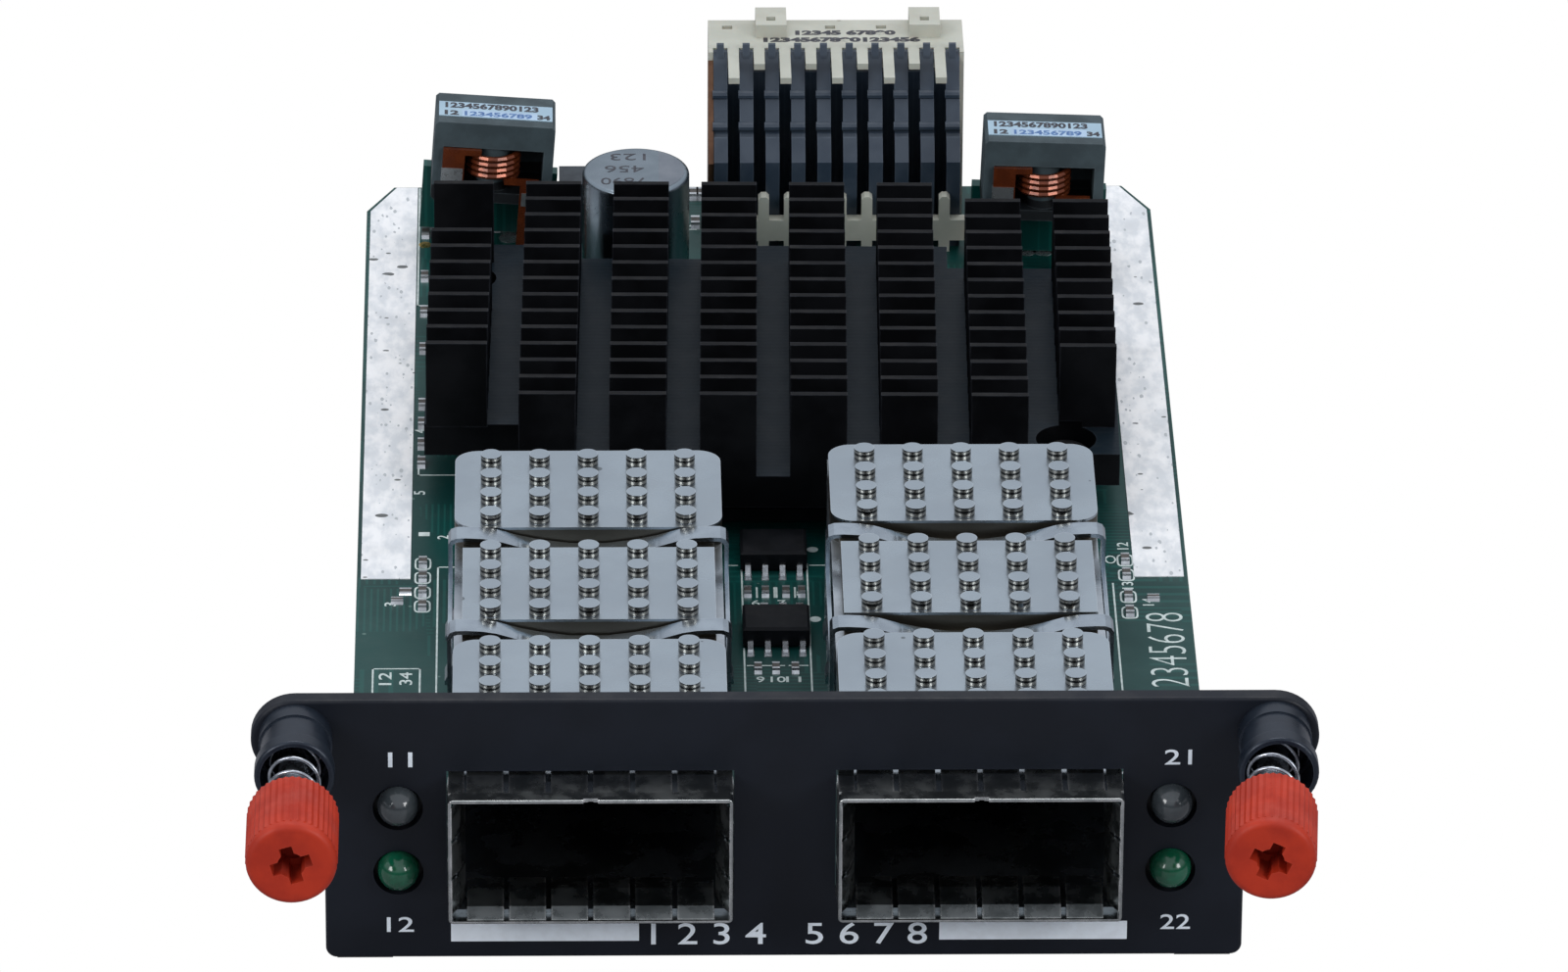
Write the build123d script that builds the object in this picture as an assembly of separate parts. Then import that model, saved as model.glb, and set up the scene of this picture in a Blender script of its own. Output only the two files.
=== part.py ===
"""Two-port pluggable switch line card.

Drawing frame, millimetres: X to the right, Y from the panel to the rear, Z up,
y = 0 on the panel's front face and z = 0 on the board's top face.
save() moves every piece so that the written origin lies on the panel's rear face,
midway between the two ports and at half the panel's height.
"""
import math
import os

from build123d import *

os.makedirs("parts", exist_ok=True)

# Ports: 20.1 x 10.15 openings, each with a 19.3 x 9.4 cage.
CUTOUT_W = 20.1
CUTOUT_Z0 = -0.15
CUTOUT_H = 10.15
PORT_PITCH = CUTOUT_W + 7.1
CAGE_HALF = CUTOUT_W / 2 - 0.4
CAGE_WALL = 0.3
CAGE_Z0 = 0.15
CAGE_Z1 = 9.55
CAGE_FRONT = -2.7
CAGE_REAR = 47.8
CAGE_WINDOW_HALF = CAGE_HALF - 1.75
CAGE_WINDOW_Y = (7.0, 41.0)
BUMP_Y = (22.0, 28.6)
RIM_HALF = CUTOUT_W / 2 - 0.12
RIM_FRONT = -3.9
RIM_W = 0.22
FINGER_PITCH = (2 * CAGE_HALF - 1.66) / 6
FINGER_W = FINGER_PITCH - 0.38
FINGER_T = 0.14
# Bowed fingers, as (depth behind the start, distance inward from the rim's outside).
INNER_FINGER = ((0.25, 0.12), (1.2, 0.64), (3.0, 1.05), (4.9, 0.85))
OUTER_FINGER = ((0.0, 0.02), (2.3, -0.09), (3.7, 0.0))

# Port lamps: two lenses over each other, beside each port.
LAMP_X = (PORT_PITCH + CUTOUT_W) / 2 + 3.4
LAMP_Z = {"link": 7.33, "activity": 2.16}
LENS_R = 1.45
LAMP_HOLE_R = 1.76
LAMP_HOLE_DROP = 0.27

# Front panel: one folded sheet with an ear at each side and two foot tabs.
PANEL_SIDE = 8.55
PANEL_W = PORT_PITCH + CUTOUT_W + 2 * PANEL_SIDE
PANEL_T = 1.2
PANEL_TOP = 15.6
PANEL_BOTTOM = -5.0
FOOT_BOTTOM = -5.4
PANEL_CORNER_R = 0.8
EAR_X = PANEL_W / 2 + 1.9
EAR_Z = 12.45
EAR_R = 3.15
FOOT_X1 = PANEL_W / 2 - PANEL_CORNER_R
FOOT_X0 = FOOT_X1 - 3.9
FOOT_WIDE_X0 = FOOT_X1 - 7.8
FOOT_DEPTH = 12.0
ORIGIN = (0.0, PANEL_T, (PANEL_TOP + PANEL_BOTTOM - 0.4) / 2)

# Circuit board, standing on the foot tabs.
BOARD_W = PANEL_W - 3.2
BOARD_T = 1.6
BOARD_FRONT = PANEL_T + 0.2
BOARD_REAR = 112.45
BOARD_CHAMFER_X = 2.1
BOARD_CHAMFER_Y = 4.2
STRIP_X1 = BOARD_W / 2 - 0.3
STRIP_X0 = STRIP_X1 - 3.65
STRIP_FRONT = 47.2
STRIP_T = 0.06
SCREW_X = BOARD_W / 2 - 3.4
SCREW_Y = 8.5

# Riding heat sink of a port: three plates on one base, with round pegs.
SINK_SHIFT = (0.0, 0.85)
SINK_BASE_Z = (CAGE_Z1, 10.1)
SINK_PLATE_TOP = 11.6
SINK_HALF = CAGE_HALF + 0.01
SINK_WAIST = CAGE_HALF - 0.6
SINK_PLATES = ((4.4, 16.35, SINK_HALF), (19.35, 30.26, SINK_WAIST), (33.37, 45.33, SINK_HALF))
SINK_CORNER_R = 1.7
PEDESTAL_HALF = CAGE_WINDOW_HALF - 0.3
PEDESTAL_Y = (7.4, 40.0)
PEDESTAL_Z = 9.15
PEG_R = 0.75
PEG_H = 0.8
PEG_PITCH_X = 3.52
PEG_PITCH_Y = 2.96
PEG_FIRST_ROWS = (5.88, 20.33, 34.46)
STRAP_Y = ((17.35, 19.15), (31.4, 33.2))
CLIP_T = 0.3
CLIP_IN = CAGE_HALF + 0.15
# The strap's bow: share of CLIP_IN from the middle, height of its top.
CLIP_BOW = ((0.0, 10.4), (0.133, 10.4), (0.337, 10.67), (0.51, 11.04), (0.673, 11.53), (0.776, 11.7), (0.898, 11.76))

# Captive thumbscrews on the ears. The right screw leans in its ferrule.
SCREW_Z = 12.75
SCREW_LEAN = {"left": 0.0, "right": 3.8}
RECESS_TURN = {"left": -17.0, "right": 24.0}
KNOB_R = 3.18
KNOB_REAR = -11.3
KNOB_FRONT = -18.15
FERRULE_FRONT = -5.8
FERRULE_R = 2.45
FERRULE_RING_R = 2.8
FERRULE_BORE_R = 2.4
CAPTIVE_WALL = (-1.5, -1.0)
CAPTIVE_BORE_R = 1.2
COLLAR_R = 1.4
THREAD_R = 1.5
SHANK_R = 1.1
THREAD_START = PANEL_T + 0.15
THREAD_TIP = THREAD_START + 1.0
WASHER_T = 0.5
SPRING_R = 1.75
SPRING_WIRE_R = 0.15
SPRING_TURNS = 4.5

# Main heat sink over the switching chip.
SINK_Z = (3.15, 5.75, 12.5)
SINK_TURN = -0.9
SINK_SLIP = (0.15, -0.1)
FIN_COLUMNS = 8
FIN_ROWS = 14
FIN_PITCH_X = 6.67
FIN_W = 4.2
FIN_CENTRE_X = 0.25
FIN_FRONT = 52.5
FIN_PITCH_Y = 2.69
FIN_T = 0.5
FIN_END_EXTRA = 0.35
# Push pins: x, y, radius of the pocket, top of the head.
PINS = ((-22.4, 85.2, 2.0, 5.9), (21.95, 58.25, 2.25, 4.9))
PIN_POCKET_Z = 3.75
PIN_HEAD_T = 0.4
CHIP_HALF = 16.0
CHIP_XY = (0.25, 71.5)
SMALL_CHIP_Y = (CHIP_XY[1] - CHIP_HALF - 5.3, CHIP_XY[1] - CHIP_HALF - 17.1)

# Backplane connector: ten contact wafers on a 2 mm pitch.
WAFERS = 10
WAFER_PITCH = 2.0
WAFER_T = 1.06
HOUSING_W = WAFERS * WAFER_PITCH - 0.2
HOUSING_WALL = 0.35
HOUSING_FRONT = 107.6
WAFER_REAR = (107.0, 109.6, 12.6)
POST_SHIFT = 0.3
CONNECTOR_X = 5.93
CONNECTOR_TOP = 14.0
CONNECTOR_REAR = 113.4

# Upright chokes behind the heat sink: x and y of the foot, lean in degrees.
CHOKES = ((5.35 - STRIP_X0, 101.4, 4.0), (STRIP_X0 - 5.3, 98.0, 2.0))
CHOKE_W = 9.25
CHOKE_Y = (-2.42, 2.71)
CHOKE_Z = (5.3, 12.0)
CHOKE_WINDOW = (3.85, 6.2, 9.92)
CHOKE_BACK = 1.2
COIL_Y = -0.9
COIL_R = 1.95
COIL_WIRE_R = 0.22
COIL_Z = (7.12, 9.88)
COIL_TURNS = 4.83
COIL_START = -60.0
STRAP_T = 0.4

CAN_XY = (-9.72, 94.3)
CAN_R = 4.1
CAN_TOP = 10.35

SIDES = (("left", -1), ("right", 1))


def block(x0, x1, y0, y1, z0, z1):
    """A box between two corners."""
    centre = Pos((x0 + x1) / 2, (y0 + y1) / 2, (z0 + z1) / 2)
    return centre * Box(x1 - x0, y1 - y0, z1 - z0)


def rod_y(radius, y0, y1, x=0.0, z=0.0):
    """A cylinder along Y."""
    return Pos(x, (y0 + y1) / 2, z) * Rot(90, 0, 0) * Cylinder(radius, y1 - y0)


def rod_z(radius, z0, z1, x=0.0, y=0.0):
    """A cylinder along Z."""
    return Pos(x, y, (z0 + z1) / 2) * Cylinder(radius, z1 - z0)


def prism_x(points, x0, x1):
    """A (y, z) outline swept along X."""
    return Pos(x0, 0, 0) * extrude(Plane.YZ * Polygon(*points, align=None), x1 - x0, dir=(1, 0, 0))


def prism_y(points, y0, y1):
    """An (x, z) outline swept along Y."""
    return Pos(0, y0, 0) * extrude(Plane.XZ * Polygon(*points, align=None), y1 - y0, dir=(0, 1, 0))


def prism_z(points, z0, z1):
    """An (x, y) outline swept along Z."""
    return Pos(0, 0, z0) * extrude(Polygon(*points, align=None), z1 - z0, dir=(0, 0, 1))


def group(shapes):
    """Several solids that are written as one node."""
    solids = []
    for shape in shapes:
        solids.extend(shape.solids())
    return Compound(children=solids)


def save(node, shape):
    """Writes one node with its origin on the panel's rear face."""
    moved = Pos(-ORIGIN[0], -ORIGIN[1], -ORIGIN[2]) * shape
    export_step(moved, f"parts/{node}.step")


def port_x(sign):
    return sign * PORT_PITCH / 2


def front_panel():
    half = PANEL_W / 2
    sketch = Pos(0, (PANEL_TOP + PANEL_BOTTOM) / 2) * Rectangle(PANEL_W, PANEL_TOP - PANEL_BOTTOM)
    sketch = fillet(sketch.vertices().sort_by(Axis.Y)[:2], PANEL_CORNER_R)
    for sign in (-1, 1):
        ear_low = EAR_Z - EAR_R
        ear = Pos(sign * (half - 1 + EAR_X) / 2, (PANEL_TOP + ear_low) / 2)
        sketch += ear * Rectangle(EAR_X - half + 1, PANEL_TOP - ear_low)
        sketch += Pos(sign * EAR_X, EAR_Z) * Circle(EAR_R)
    panel = Pos(0, PANEL_T, 0) * extrude(Plane.XZ * sketch, PANEL_T)
    outline = panel.faces().sort_by(Axis.Y)[0].outer_wire().edges()
    panel = fillet(outline, 0.3)
    for sign in (-1, 1):
        x0, x1 = sorted((sign * FOOT_X0, sign * FOOT_X1))
        fold = [(0.0, -4.3), (0.1, -4.8), (0.35, -5.13), (0.7, -5.33), (1.1, FOOT_BOTTOM)]
        fold += [(3.6, FOOT_BOTTOM), (3.6, FOOT_BOTTOM + PANEL_T)]
        fold += [(PANEL_T, FOOT_BOTTOM + PANEL_T), (PANEL_T, -3.9), (0.0, -3.9)]
        panel += prism_x(fold, x0, x1)
        x0, x1 = sorted((sign * FOOT_WIDE_X0, sign * FOOT_X1))
        tab = block(x0, x1, 3.5, FOOT_DEPTH, FOOT_BOTTOM, FOOT_BOTTOM + PANEL_T)
        rear_corners = tab.edges().filter_by(Axis.Z).sort_by(Axis.Y)[2:]
        panel += fillet(rear_corners, 1.2)
        panel -= rod_z(1.05, FOOT_BOTTOM - 1, FOOT_BOTTOM + 2, sign * SCREW_X, SCREW_Y)
        x = port_x(sign)
        z1 = CUTOUT_Z0 + CUTOUT_H
        panel -= block(x - CUTOUT_W / 2, x + CUTOUT_W / 2, -1, 3, CUTOUT_Z0, z1)
        panel -= rod_y(2.2, -1, 3, sign * EAR_X, SCREW_Z)
        for z in LAMP_Z.values():
            panel -= rod_y(LAMP_HOLE_R, -1, 3, sign * LAMP_X, z - LAMP_HOLE_DROP)
    return panel


def ferrule(sign):
    """A turned sleeve; its inner wall keeps the screw captive."""
    body = rod_y(FERRULE_R, -4.7, 0.0) + rod_y(FERRULE_R + 0.12, -1.4, 0.0)
    body += rod_y(FERRULE_RING_R, FERRULE_FRONT, -4.5) + rod_y(2.18, -0.1, PANEL_T)
    front = body.faces().sort_by(Axis.Y)[0].outer_wire().edges()
    body = fillet(front, 0.25)
    body -= rod_y(2.2, FERRULE_FRONT + 3.0, CAPTIVE_WALL[0])
    body -= rod_y(FERRULE_BORE_R, FERRULE_FRONT - 1, FERRULE_FRONT + 3.0)
    body -= rod_y(CAPTIVE_BORE_R + 0.1, CAPTIVE_WALL[0] - 0.5, CAPTIVE_WALL[1] + 0.5)
    body -= rod_y(1.8, CAPTIVE_WALL[1], PANEL_T + 1)
    return Pos(sign * EAR_X, 0, SCREW_Z) * body


def leaned(shape, side, sign):
    """Puts a thumbscrew piece on its axis, which passes the panel's mid-plane."""
    seat = Pos(sign * EAR_X, PANEL_T / 2, SCREW_Z) * Rot(0, 0, -SCREW_LEAN[side])
    return seat * Pos(0, -PANEL_T / 2, 0) * shape


def captive_screw():
    """A shank, the collar that the ferrule's wall holds back, and a threaded tip."""
    screw = rod_y(SHANK_R, KNOB_REAR - 3.0, THREAD_START + 0.1)
    screw += rod_y(COLLAR_R + 0.05, CAPTIVE_WALL[1] + 0.05, CAPTIVE_WALL[1] + 0.7)
    return screw + rod_y(THREAD_R, THREAD_START, THREAD_TIP)


def knob(side):
    """A straight-fluted knob with a cross recess in its front face."""
    flutes = 42
    outline = []
    for i in range(2 * flutes):
        radius = KNOB_R if i % 2 else KNOB_R - 0.1
        angle = math.pi * i / flutes
        outline.append((radius * math.cos(angle), radius * math.sin(angle)))
    body = prism_y(outline, KNOB_FRONT + 0.7, KNOB_REAR)
    collar = rod_y(KNOB_R - 0.05, KNOB_FRONT, KNOB_FRONT + 0.7)
    body += fillet(collar.faces().sort_by(Axis.Y)[0].edges(), 0.5)
    body -= rod_y(SHANK_R + 0.02, KNOB_REAR - 3.02, KNOB_REAR + 1)
    front, floor = KNOB_FRONT - 1, KNOB_FRONT + 2.6
    recess = block(-1.42, 1.42, front, floor, -0.46, 0.46) + block(-0.46, 0.46, front, floor, -1.42, 1.42)
    recess += rod_y(0.95, front, floor + 0.4)
    return body - Rot(0, RECESS_TURN[side], 0) * recess


def spring(radius, wire, height, turns, start=0.0, steps=18, sides=6):
    """A coil of facetted wire along Z, between z = 0 and the given height.

    Ring i lies round (radius cos a, radius sin a, wire + rise i / count), square to the wire.
    """
    rise = height - 2 * wire
    count = round(turns * steps)
    rings = []
    for i in range(count + 1):
        angle = math.radians(start) + 2 * math.pi * turns * i / count
        out = Vector(math.cos(angle), math.sin(angle), 0)
        along = Vector(-math.sin(angle), math.cos(angle), rise / (2 * math.pi * turns * radius))
        up = out.cross(along.normalized())
        centre = out * radius + Vector(0, 0, wire + rise * i / count)
        ring = []
        for j in range(sides):
            around = 2 * math.pi * j / sides
            ring.append(centre + out * (wire * math.cos(around)) + up * (wire * math.sin(around)))
        rings.append(ring)
    faces = [Face(Wire.make_polygon(rings[0])), Face(Wire.make_polygon(rings[-1]))]
    for first, second in zip(rings, rings[1:]):
        for j in range(sides):
            k = (j + 1) % sides
            faces.append(Face(Wire.make_polygon([first[j], first[k], second[k]])))
            faces.append(Face(Wire.make_polygon([first[j], second[k], second[j]])))
    return Solid(Shell(faces))


def screw_spring():
    y0 = KNOB_REAR + WASHER_T
    height = CAPTIVE_WALL[0] - y0 - 0.04
    coil = spring(SPRING_R, SPRING_WIRE_R, height, SPRING_TURNS)
    return Pos(0, y0 + 0.02, 0) * Rot(-90, 0, 0) * coil


def washer():
    return rod_y(1.85, KNOB_REAR, KNOB_REAR + WASHER_T) - rod_y(SHANK_R + 0.1, -20, 0)


def lamp_housing(sign):
    x = sign * LAMP_X
    body = block(x - 1.9, x + 1.9, BOARD_FRONT + 0.1, 6.4, 0.0, 9.6)
    body -= block(x - 2.5, x + 2.5, 4.6, 8.0, 4.4, 12.0)
    for z in LAMP_Z.values():
        body -= rod_y(1.2, 0.0, 3.6, x, z)
    return body


def lens(sign, z):
    """A lamp lens: a stem in the housing, a flange in the panel, a round dome."""
    body = rod_y(LENS_R, -0.1, BOARD_FRONT + 0.1) + rod_y(1.1, 1.0, 3.5)
    dome = Pos(0, -0.1, 0) * Sphere(LENS_R)
    body += dome & block(-2, 2, -2, 0.0, -2, 2)
    return Pos(sign * LAMP_X, 0, z) * body


def cage(sign):
    """A folded cage, open at the front and over the heat sink's pedestal."""
    x = port_x(sign)
    half, wall = CAGE_HALF, CAGE_WALL
    body = block(x - half, x + half, CAGE_FRONT, CAGE_REAR, CAGE_Z0, CAGE_Z1)
    inner = half - wall
    body -= block(x - inner, x + inner, CAGE_FRONT - 1, CAGE_REAR - wall, CAGE_Z0 + wall, CAGE_Z1 - wall)
    y0, y1 = CAGE_WINDOW_Y
    window = CAGE_WINDOW_HALF
    body -= block(x - window, x + window, y0, y1 + SINK_SHIFT[1], CAGE_Z1 - 1, CAGE_Z1 + 1)
    for hand in (-1, 1):
        for y in BUMP_Y:
            wedge = [(half - 0.02, 7.3), (half + 0.68, 5.7), (half + 0.68, 5.4), (half - 0.02, 5.4)]
            wedge = [(x + hand * u, z) for u, z in wedge]
            body += prism_y(wedge, y - 1.0, y + 1.0)
        for y in (4.0, 16.0, 34.5, 45.0):
            u0, u1 = sorted((x + hand * (half - wall), x + hand * half))
            body += block(u0, u1, y - 0.8, y + 0.8, 0.0, CAGE_Z0 + 0.1)
        for y in (37.5, 41.5):
            slot = block(half - 1, half + 1, y - 1.2, y + 1.2, 3.2, 5.2)
            body -= Pos(x, 0, 0) * (slot if hand > 0 else mirror(slot, Plane.YZ))
    return body


def finger(profile, inward):
    """A sheet finger's outline in (y, w) from its centre line's near side."""
    far = [(y, w + inward * FINGER_T) for y, w in reversed(profile)]
    return list(profile) + far


def gasket(sign):
    """The contact rim round a cage's mouth: a rounded frame, fingers outside and inside."""
    mid = (CAGE_Z0 + CAGE_Z1) / 2
    rise = RIM_HALF - CAGE_HALF
    tall = (CAGE_Z1 - CAGE_Z0) / 2 + rise - 0.05
    rear = CAGE_FRONT
    rim = block(-RIM_HALF, RIM_HALF, RIM_FRONT, rear, -tall, tall)
    rim = fillet(rim.edges().filter_by(Axis.Y), 0.35)
    rim = fillet(rim.faces().sort_by(Axis.Y)[0].edges(), 0.1)
    rim -= block(RIM_W - RIM_HALF, RIM_HALF - RIM_W, RIM_FRONT - 1, rear + 1, RIM_W - tall, tall - RIM_W)
    rim -= block(-0.5, 0.5, RIM_FRONT - 1, RIM_FRONT + 0.3, tall - RIM_W - 1, tall + 1)
    inside = finger(INNER_FINGER, 1)
    outside = finger(OUTER_FINGER, 1)
    for i in range(6):
        u = (i - 2.5) * FINGER_PITCH
        u0, u1 = u - FINGER_W / 2, u + FINGER_W / 2
        for up in (1, -1):
            top = [(rear - 0.05 + y, up * (tall - w)) for y, w in outside]
            rim += prism_x(top, u0, u1)
            low = [(RIM_FRONT + y, up * (tall - w)) for y, w in inside]
            rim += prism_x(low, u0, u1)
    for i in range(3):
        u = (i - 1) * FINGER_PITCH
        u0, u1 = u - FINGER_W / 2, u + FINGER_W / 2
        for hand in (1, -1):
            side = [(hand * (RIM_HALF - w), rear - 0.05 + y) for y, w in outside]
            rim += prism_z(side, u0, u1)
            side = [(hand * (RIM_HALF - w), RIM_FRONT + y) for y, w in inside]
            rim += prism_z(side, u0, u1)
    for hand in (1, -1):
        for up in (1, -1):
            corner = block(RIM_HALF - 1.13, RIM_HALF - 0.02, rear - 0.05, 0.5, tall - 0.16, tall - 0.02)
            corner += block(RIM_HALF - 0.16, RIM_HALF - 0.02, rear - 0.05, 0.5, 4.4, tall - 0.02)
            corner = corner if hand > 0 else mirror(corner, Plane.YZ)
            rim += corner if up > 0 else mirror(corner, Plane.XY)
    return Pos(port_x(sign), 0, mid) * rim


def port_connector(sign):
    """The black edge connector at the rear of a cage, with its card slot."""
    x = port_x(sign)
    body = block(x - 7.6, x + 7.6, 34.5, 46.6, 0.5, 7.9)
    body -= block(x - 6.6, x + 6.6, 33.0, 42.0, 3.3, 4.5)
    body -= block(x - 8.0, x + 8.0, 33.0, 37.0, 6.4, 9.0)
    return body


def port_sink(index, sign):
    """A riding heat sink: three raised plates, strap grooves, pegs, pedestal."""
    y_shift = SINK_SHIFT[index]
    z0, z1 = SINK_BASE_Z
    first, last = SINK_PLATES[0], SINK_PLATES[-1]
    body = block(-SINK_WAIST, SINK_WAIST, first[0] + 0.5, last[1] - 0.5, z0, z1)
    for y0, y1, half in SINK_PLATES:
        plate = block(-half, half, y0, y1, z0, SINK_PLATE_TOP)
        if half > SINK_WAIST:
            body += fillet(plate.edges().filter_by(Axis.Z), SINK_CORNER_R)
        else:
            body += plate
    pedestal = block(-PEDESTAL_HALF, PEDESTAL_HALF, *PEDESTAL_Y, PEDESTAL_Z, z0 + 0.1)
    body += pedestal
    circles = []
    for start in PEG_FIRST_ROWS:
        for row in range(4):
            for column in range(5):
                spot = Pos((column - 2) * PEG_PITCH_X, start + row * PEG_PITCH_Y)
                circles.append(spot * Circle(PEG_R))
    pegs = Pos(0, 0, SINK_PLATE_TOP - 0.1) * extrude(Sketch() + circles, PEG_H + 0.1)
    body += pegs
    return Pos(port_x(sign), y_shift, 0) * body


def clip(index, sign):
    """A sheet clip: two bowed straps across the grooves, a rail at each side."""
    half = CLIP_IN + CLIP_T
    top = [(share * CLIP_IN, z) for share, z in CLIP_BOW]
    low = [(0.003 * CLIP_IN + u, z - 1.03 * CLIP_T) for u, z in reversed(top[2:])]
    low += [(top[1][0], top[1][1] - CLIP_T), (0.0, top[0][1] - CLIP_T)]
    top += [(CLIP_IN - 0.3, 11.74), (CLIP_IN + 0.1, 11.58), (half, 11.25), (half, 8.4)]
    low = [(CLIP_IN, 8.4), (CLIP_IN, 11.1), (CLIP_IN - 0.14, 11.33), (CLIP_IN - 0.45, 11.44)] + low
    outline = top + low + [(-u, z) for u, z in reversed(low[:-1])] + [(-u, z) for u, z in reversed(top[1:])]
    y0, y1 = STRAP_Y[0][0], STRAP_Y[1][1]
    body = prism_y(outline, *STRAP_Y[0]) + prism_y(outline, *STRAP_Y[1])
    for hand in (-1, 1):
        u0, u1 = sorted((hand * CLIP_IN, hand * half))
        body += block(u0, u1, y0, y1, 4.1, 8.9)
        for y in BUMP_Y:
            body -= block(u0 - 0.2, u1 + 0.2, y - 1.5 - SINK_SHIFT[1] / 2, y + 1.5, 5.4, 7.7)
        body -= block(u0 - 0.2, u1 + 0.2, 23.8, 26.8, 6.0, 7.2)
    return Pos(port_x(sign), SINK_SHIFT[index] / 2, 0) * body


def circuit_board():
    half = BOARD_W / 2
    cx, cy = BOARD_CHAMFER_X, BOARD_CHAMFER_Y
    outline = [(-half, BOARD_FRONT), (half, BOARD_FRONT), (half, BOARD_REAR - cy)]
    outline += [(half - cx, BOARD_REAR), (-half + cx, BOARD_REAR), (-half, BOARD_REAR - cy)]
    board = prism_z(outline, -BOARD_T, 0.0)
    for sign in (-1, 1):
        board -= rod_z(1.15, -3, 1, sign * SCREW_X, SCREW_Y)
    for x, y, _, _ in PINS:
        board -= rod_z(1.2, -3, 1, x, y)
    return board


def ground_strips():
    """Tinned guide strips along both edges, on the top and the underside."""
    strips = []
    cx, cy = BOARD_CHAMFER_X, BOARD_CHAMFER_Y
    for sign in (-1, 1):
        outline = [(STRIP_X0, STRIP_FRONT), (STRIP_X1, STRIP_FRONT), (STRIP_X1, BOARD_REAR - cy - 0.1)]
        outline += [(STRIP_X1 - cx + 0.1, BOARD_REAR - 0.15), (STRIP_X0, BOARD_REAR - 0.15)]
        outline = [(sign * x, y) for x, y in outline]
        strips.append(prism_z(outline, 0.0, STRIP_T))
        strips.append(prism_z(outline, -BOARD_T - STRIP_T, -BOARD_T))
    return group(strips)


def standoff(sign):
    z0 = FOOT_BOTTOM + PANEL_T
    return rod_z(2.1, z0, -BOARD_T, sign * SCREW_X, SCREW_Y) - rod_z(0.95, z0 - 1, 0, sign * SCREW_X, SCREW_Y)


def board_screw(sign):
    head = rod_z(1.9, 0.0, 1.1) + rod_z(0.9, FOOT_BOTTOM + 0.5, 0.1)
    head -= block(-1.1, 1.1, -0.2, 0.2, 0.6, 2.0) + block(-0.2, 0.2, -1.1, 1.1, 0.6, 2.0)
    return Pos(sign * SCREW_X, SCREW_Y, 0) * head


def fin_missing(column, row):
    """Fins cut away for the push pins, the chokes and the board's corners."""
    if column == 0:
        return row in (0, 1, 2, 11, 12)
    if column == 7:
        return row in (0, 1, 2, 13)
    return column == 6 and row == 13


def main_sink():
    """A cross-cut heat sink: thin fins in eight columns on a stepped base, set a little askew."""
    z0, z1, z2 = SINK_Z
    left, right = -25.7, 25.95
    outline = [(left, 60.65), (-18.5, 60.65), (-18.5, FIN_FRONT), (18.95, FIN_FRONT), (18.95, 56.25)]
    outline += [(right, 56.25), (right, 86.9), (13.6, 86.9), (13.6, 90.6), (-4.9, 90.6)]
    outline += [(-4.9, 88.3), (-14.3, 88.3), (-14.3, 90.6), (left, 90.6)]
    body = prism_z(outline, z0, z1)
    rectangles = []
    for column in range(FIN_COLUMNS):
        x = FIN_CENTRE_X + (column - (FIN_COLUMNS - 1) / 2) * FIN_PITCH_X
        for row in range(FIN_ROWS):
            if fin_missing(column, row):
                continue
            y = FIN_FRONT + FIN_T / 2 + row * FIN_PITCH_Y
            extra = FIN_END_EXTRA if column == 0 else 0.0
            rectangles.append(Pos(x - extra / 2, y) * Rectangle(FIN_W + extra, FIN_T))
    fins = Pos(0, 0, z1 - 0.2) * extrude(Sketch() + rectangles, z2 - z1 + 0.2)
    body += fins
    cx, cy = CHIP_XY
    body = Pos(cx + SINK_SLIP[0], cy + SINK_SLIP[1], 0) * Rot(0, 0, SINK_TURN) * Pos(-cx, -cy, 0) * body
    for x, y, pocket, _ in PINS:
        body -= rod_z(pocket, PIN_POCKET_Z, z1 + 0.5, x, y)
        body -= rod_z(1.15, z0 - 1, z1, x, y)
    return body


def push_pin(x, y, top):
    """A headed pin with a split barbed tip below the board."""
    pin = rod_z(1.5, top - PIN_HEAD_T, top) + rod_z(0.85, -BOARD_T - 0.2, top - 0.1)
    barb = Cone(0.5, 1.45, 1.3, align=(Align.CENTER, Align.CENTER, Align.MAX))
    pin += Pos(0, 0, -BOARD_T - 0.05) * barb
    pin -= block(-0.15, 0.15, -2, 2, -6, -BOARD_T + 0.5)
    return Pos(x, y, 0) * pin


def pin_spring(x, y, top):
    height = top - PIN_HEAD_T - PIN_POCKET_Z
    return Pos(x, y, PIN_POCKET_Z) * spring(1.3, 0.14, height, height / 0.55, sides=5)


def wafer_outline():
    """The thin front of a contact wafer seen from its side, in (y, z)."""
    outline = [(102.0, 0.0), (102.0, 7.2), (103.35, 8.76), (103.35, 8.25), (103.85, 8.8)]
    outline += [(103.85, 9.33), (107.2, 13.2), (107.9, 13.9), (108.3, 13.9), (108.3, WAFER_REAR[2] - 0.1)]
    return outline + [(WAFER_REAR[0] + 0.1, WAFER_REAR[2] - 0.1), (WAFER_REAR[0] + 0.1, 0.0)]


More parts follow.
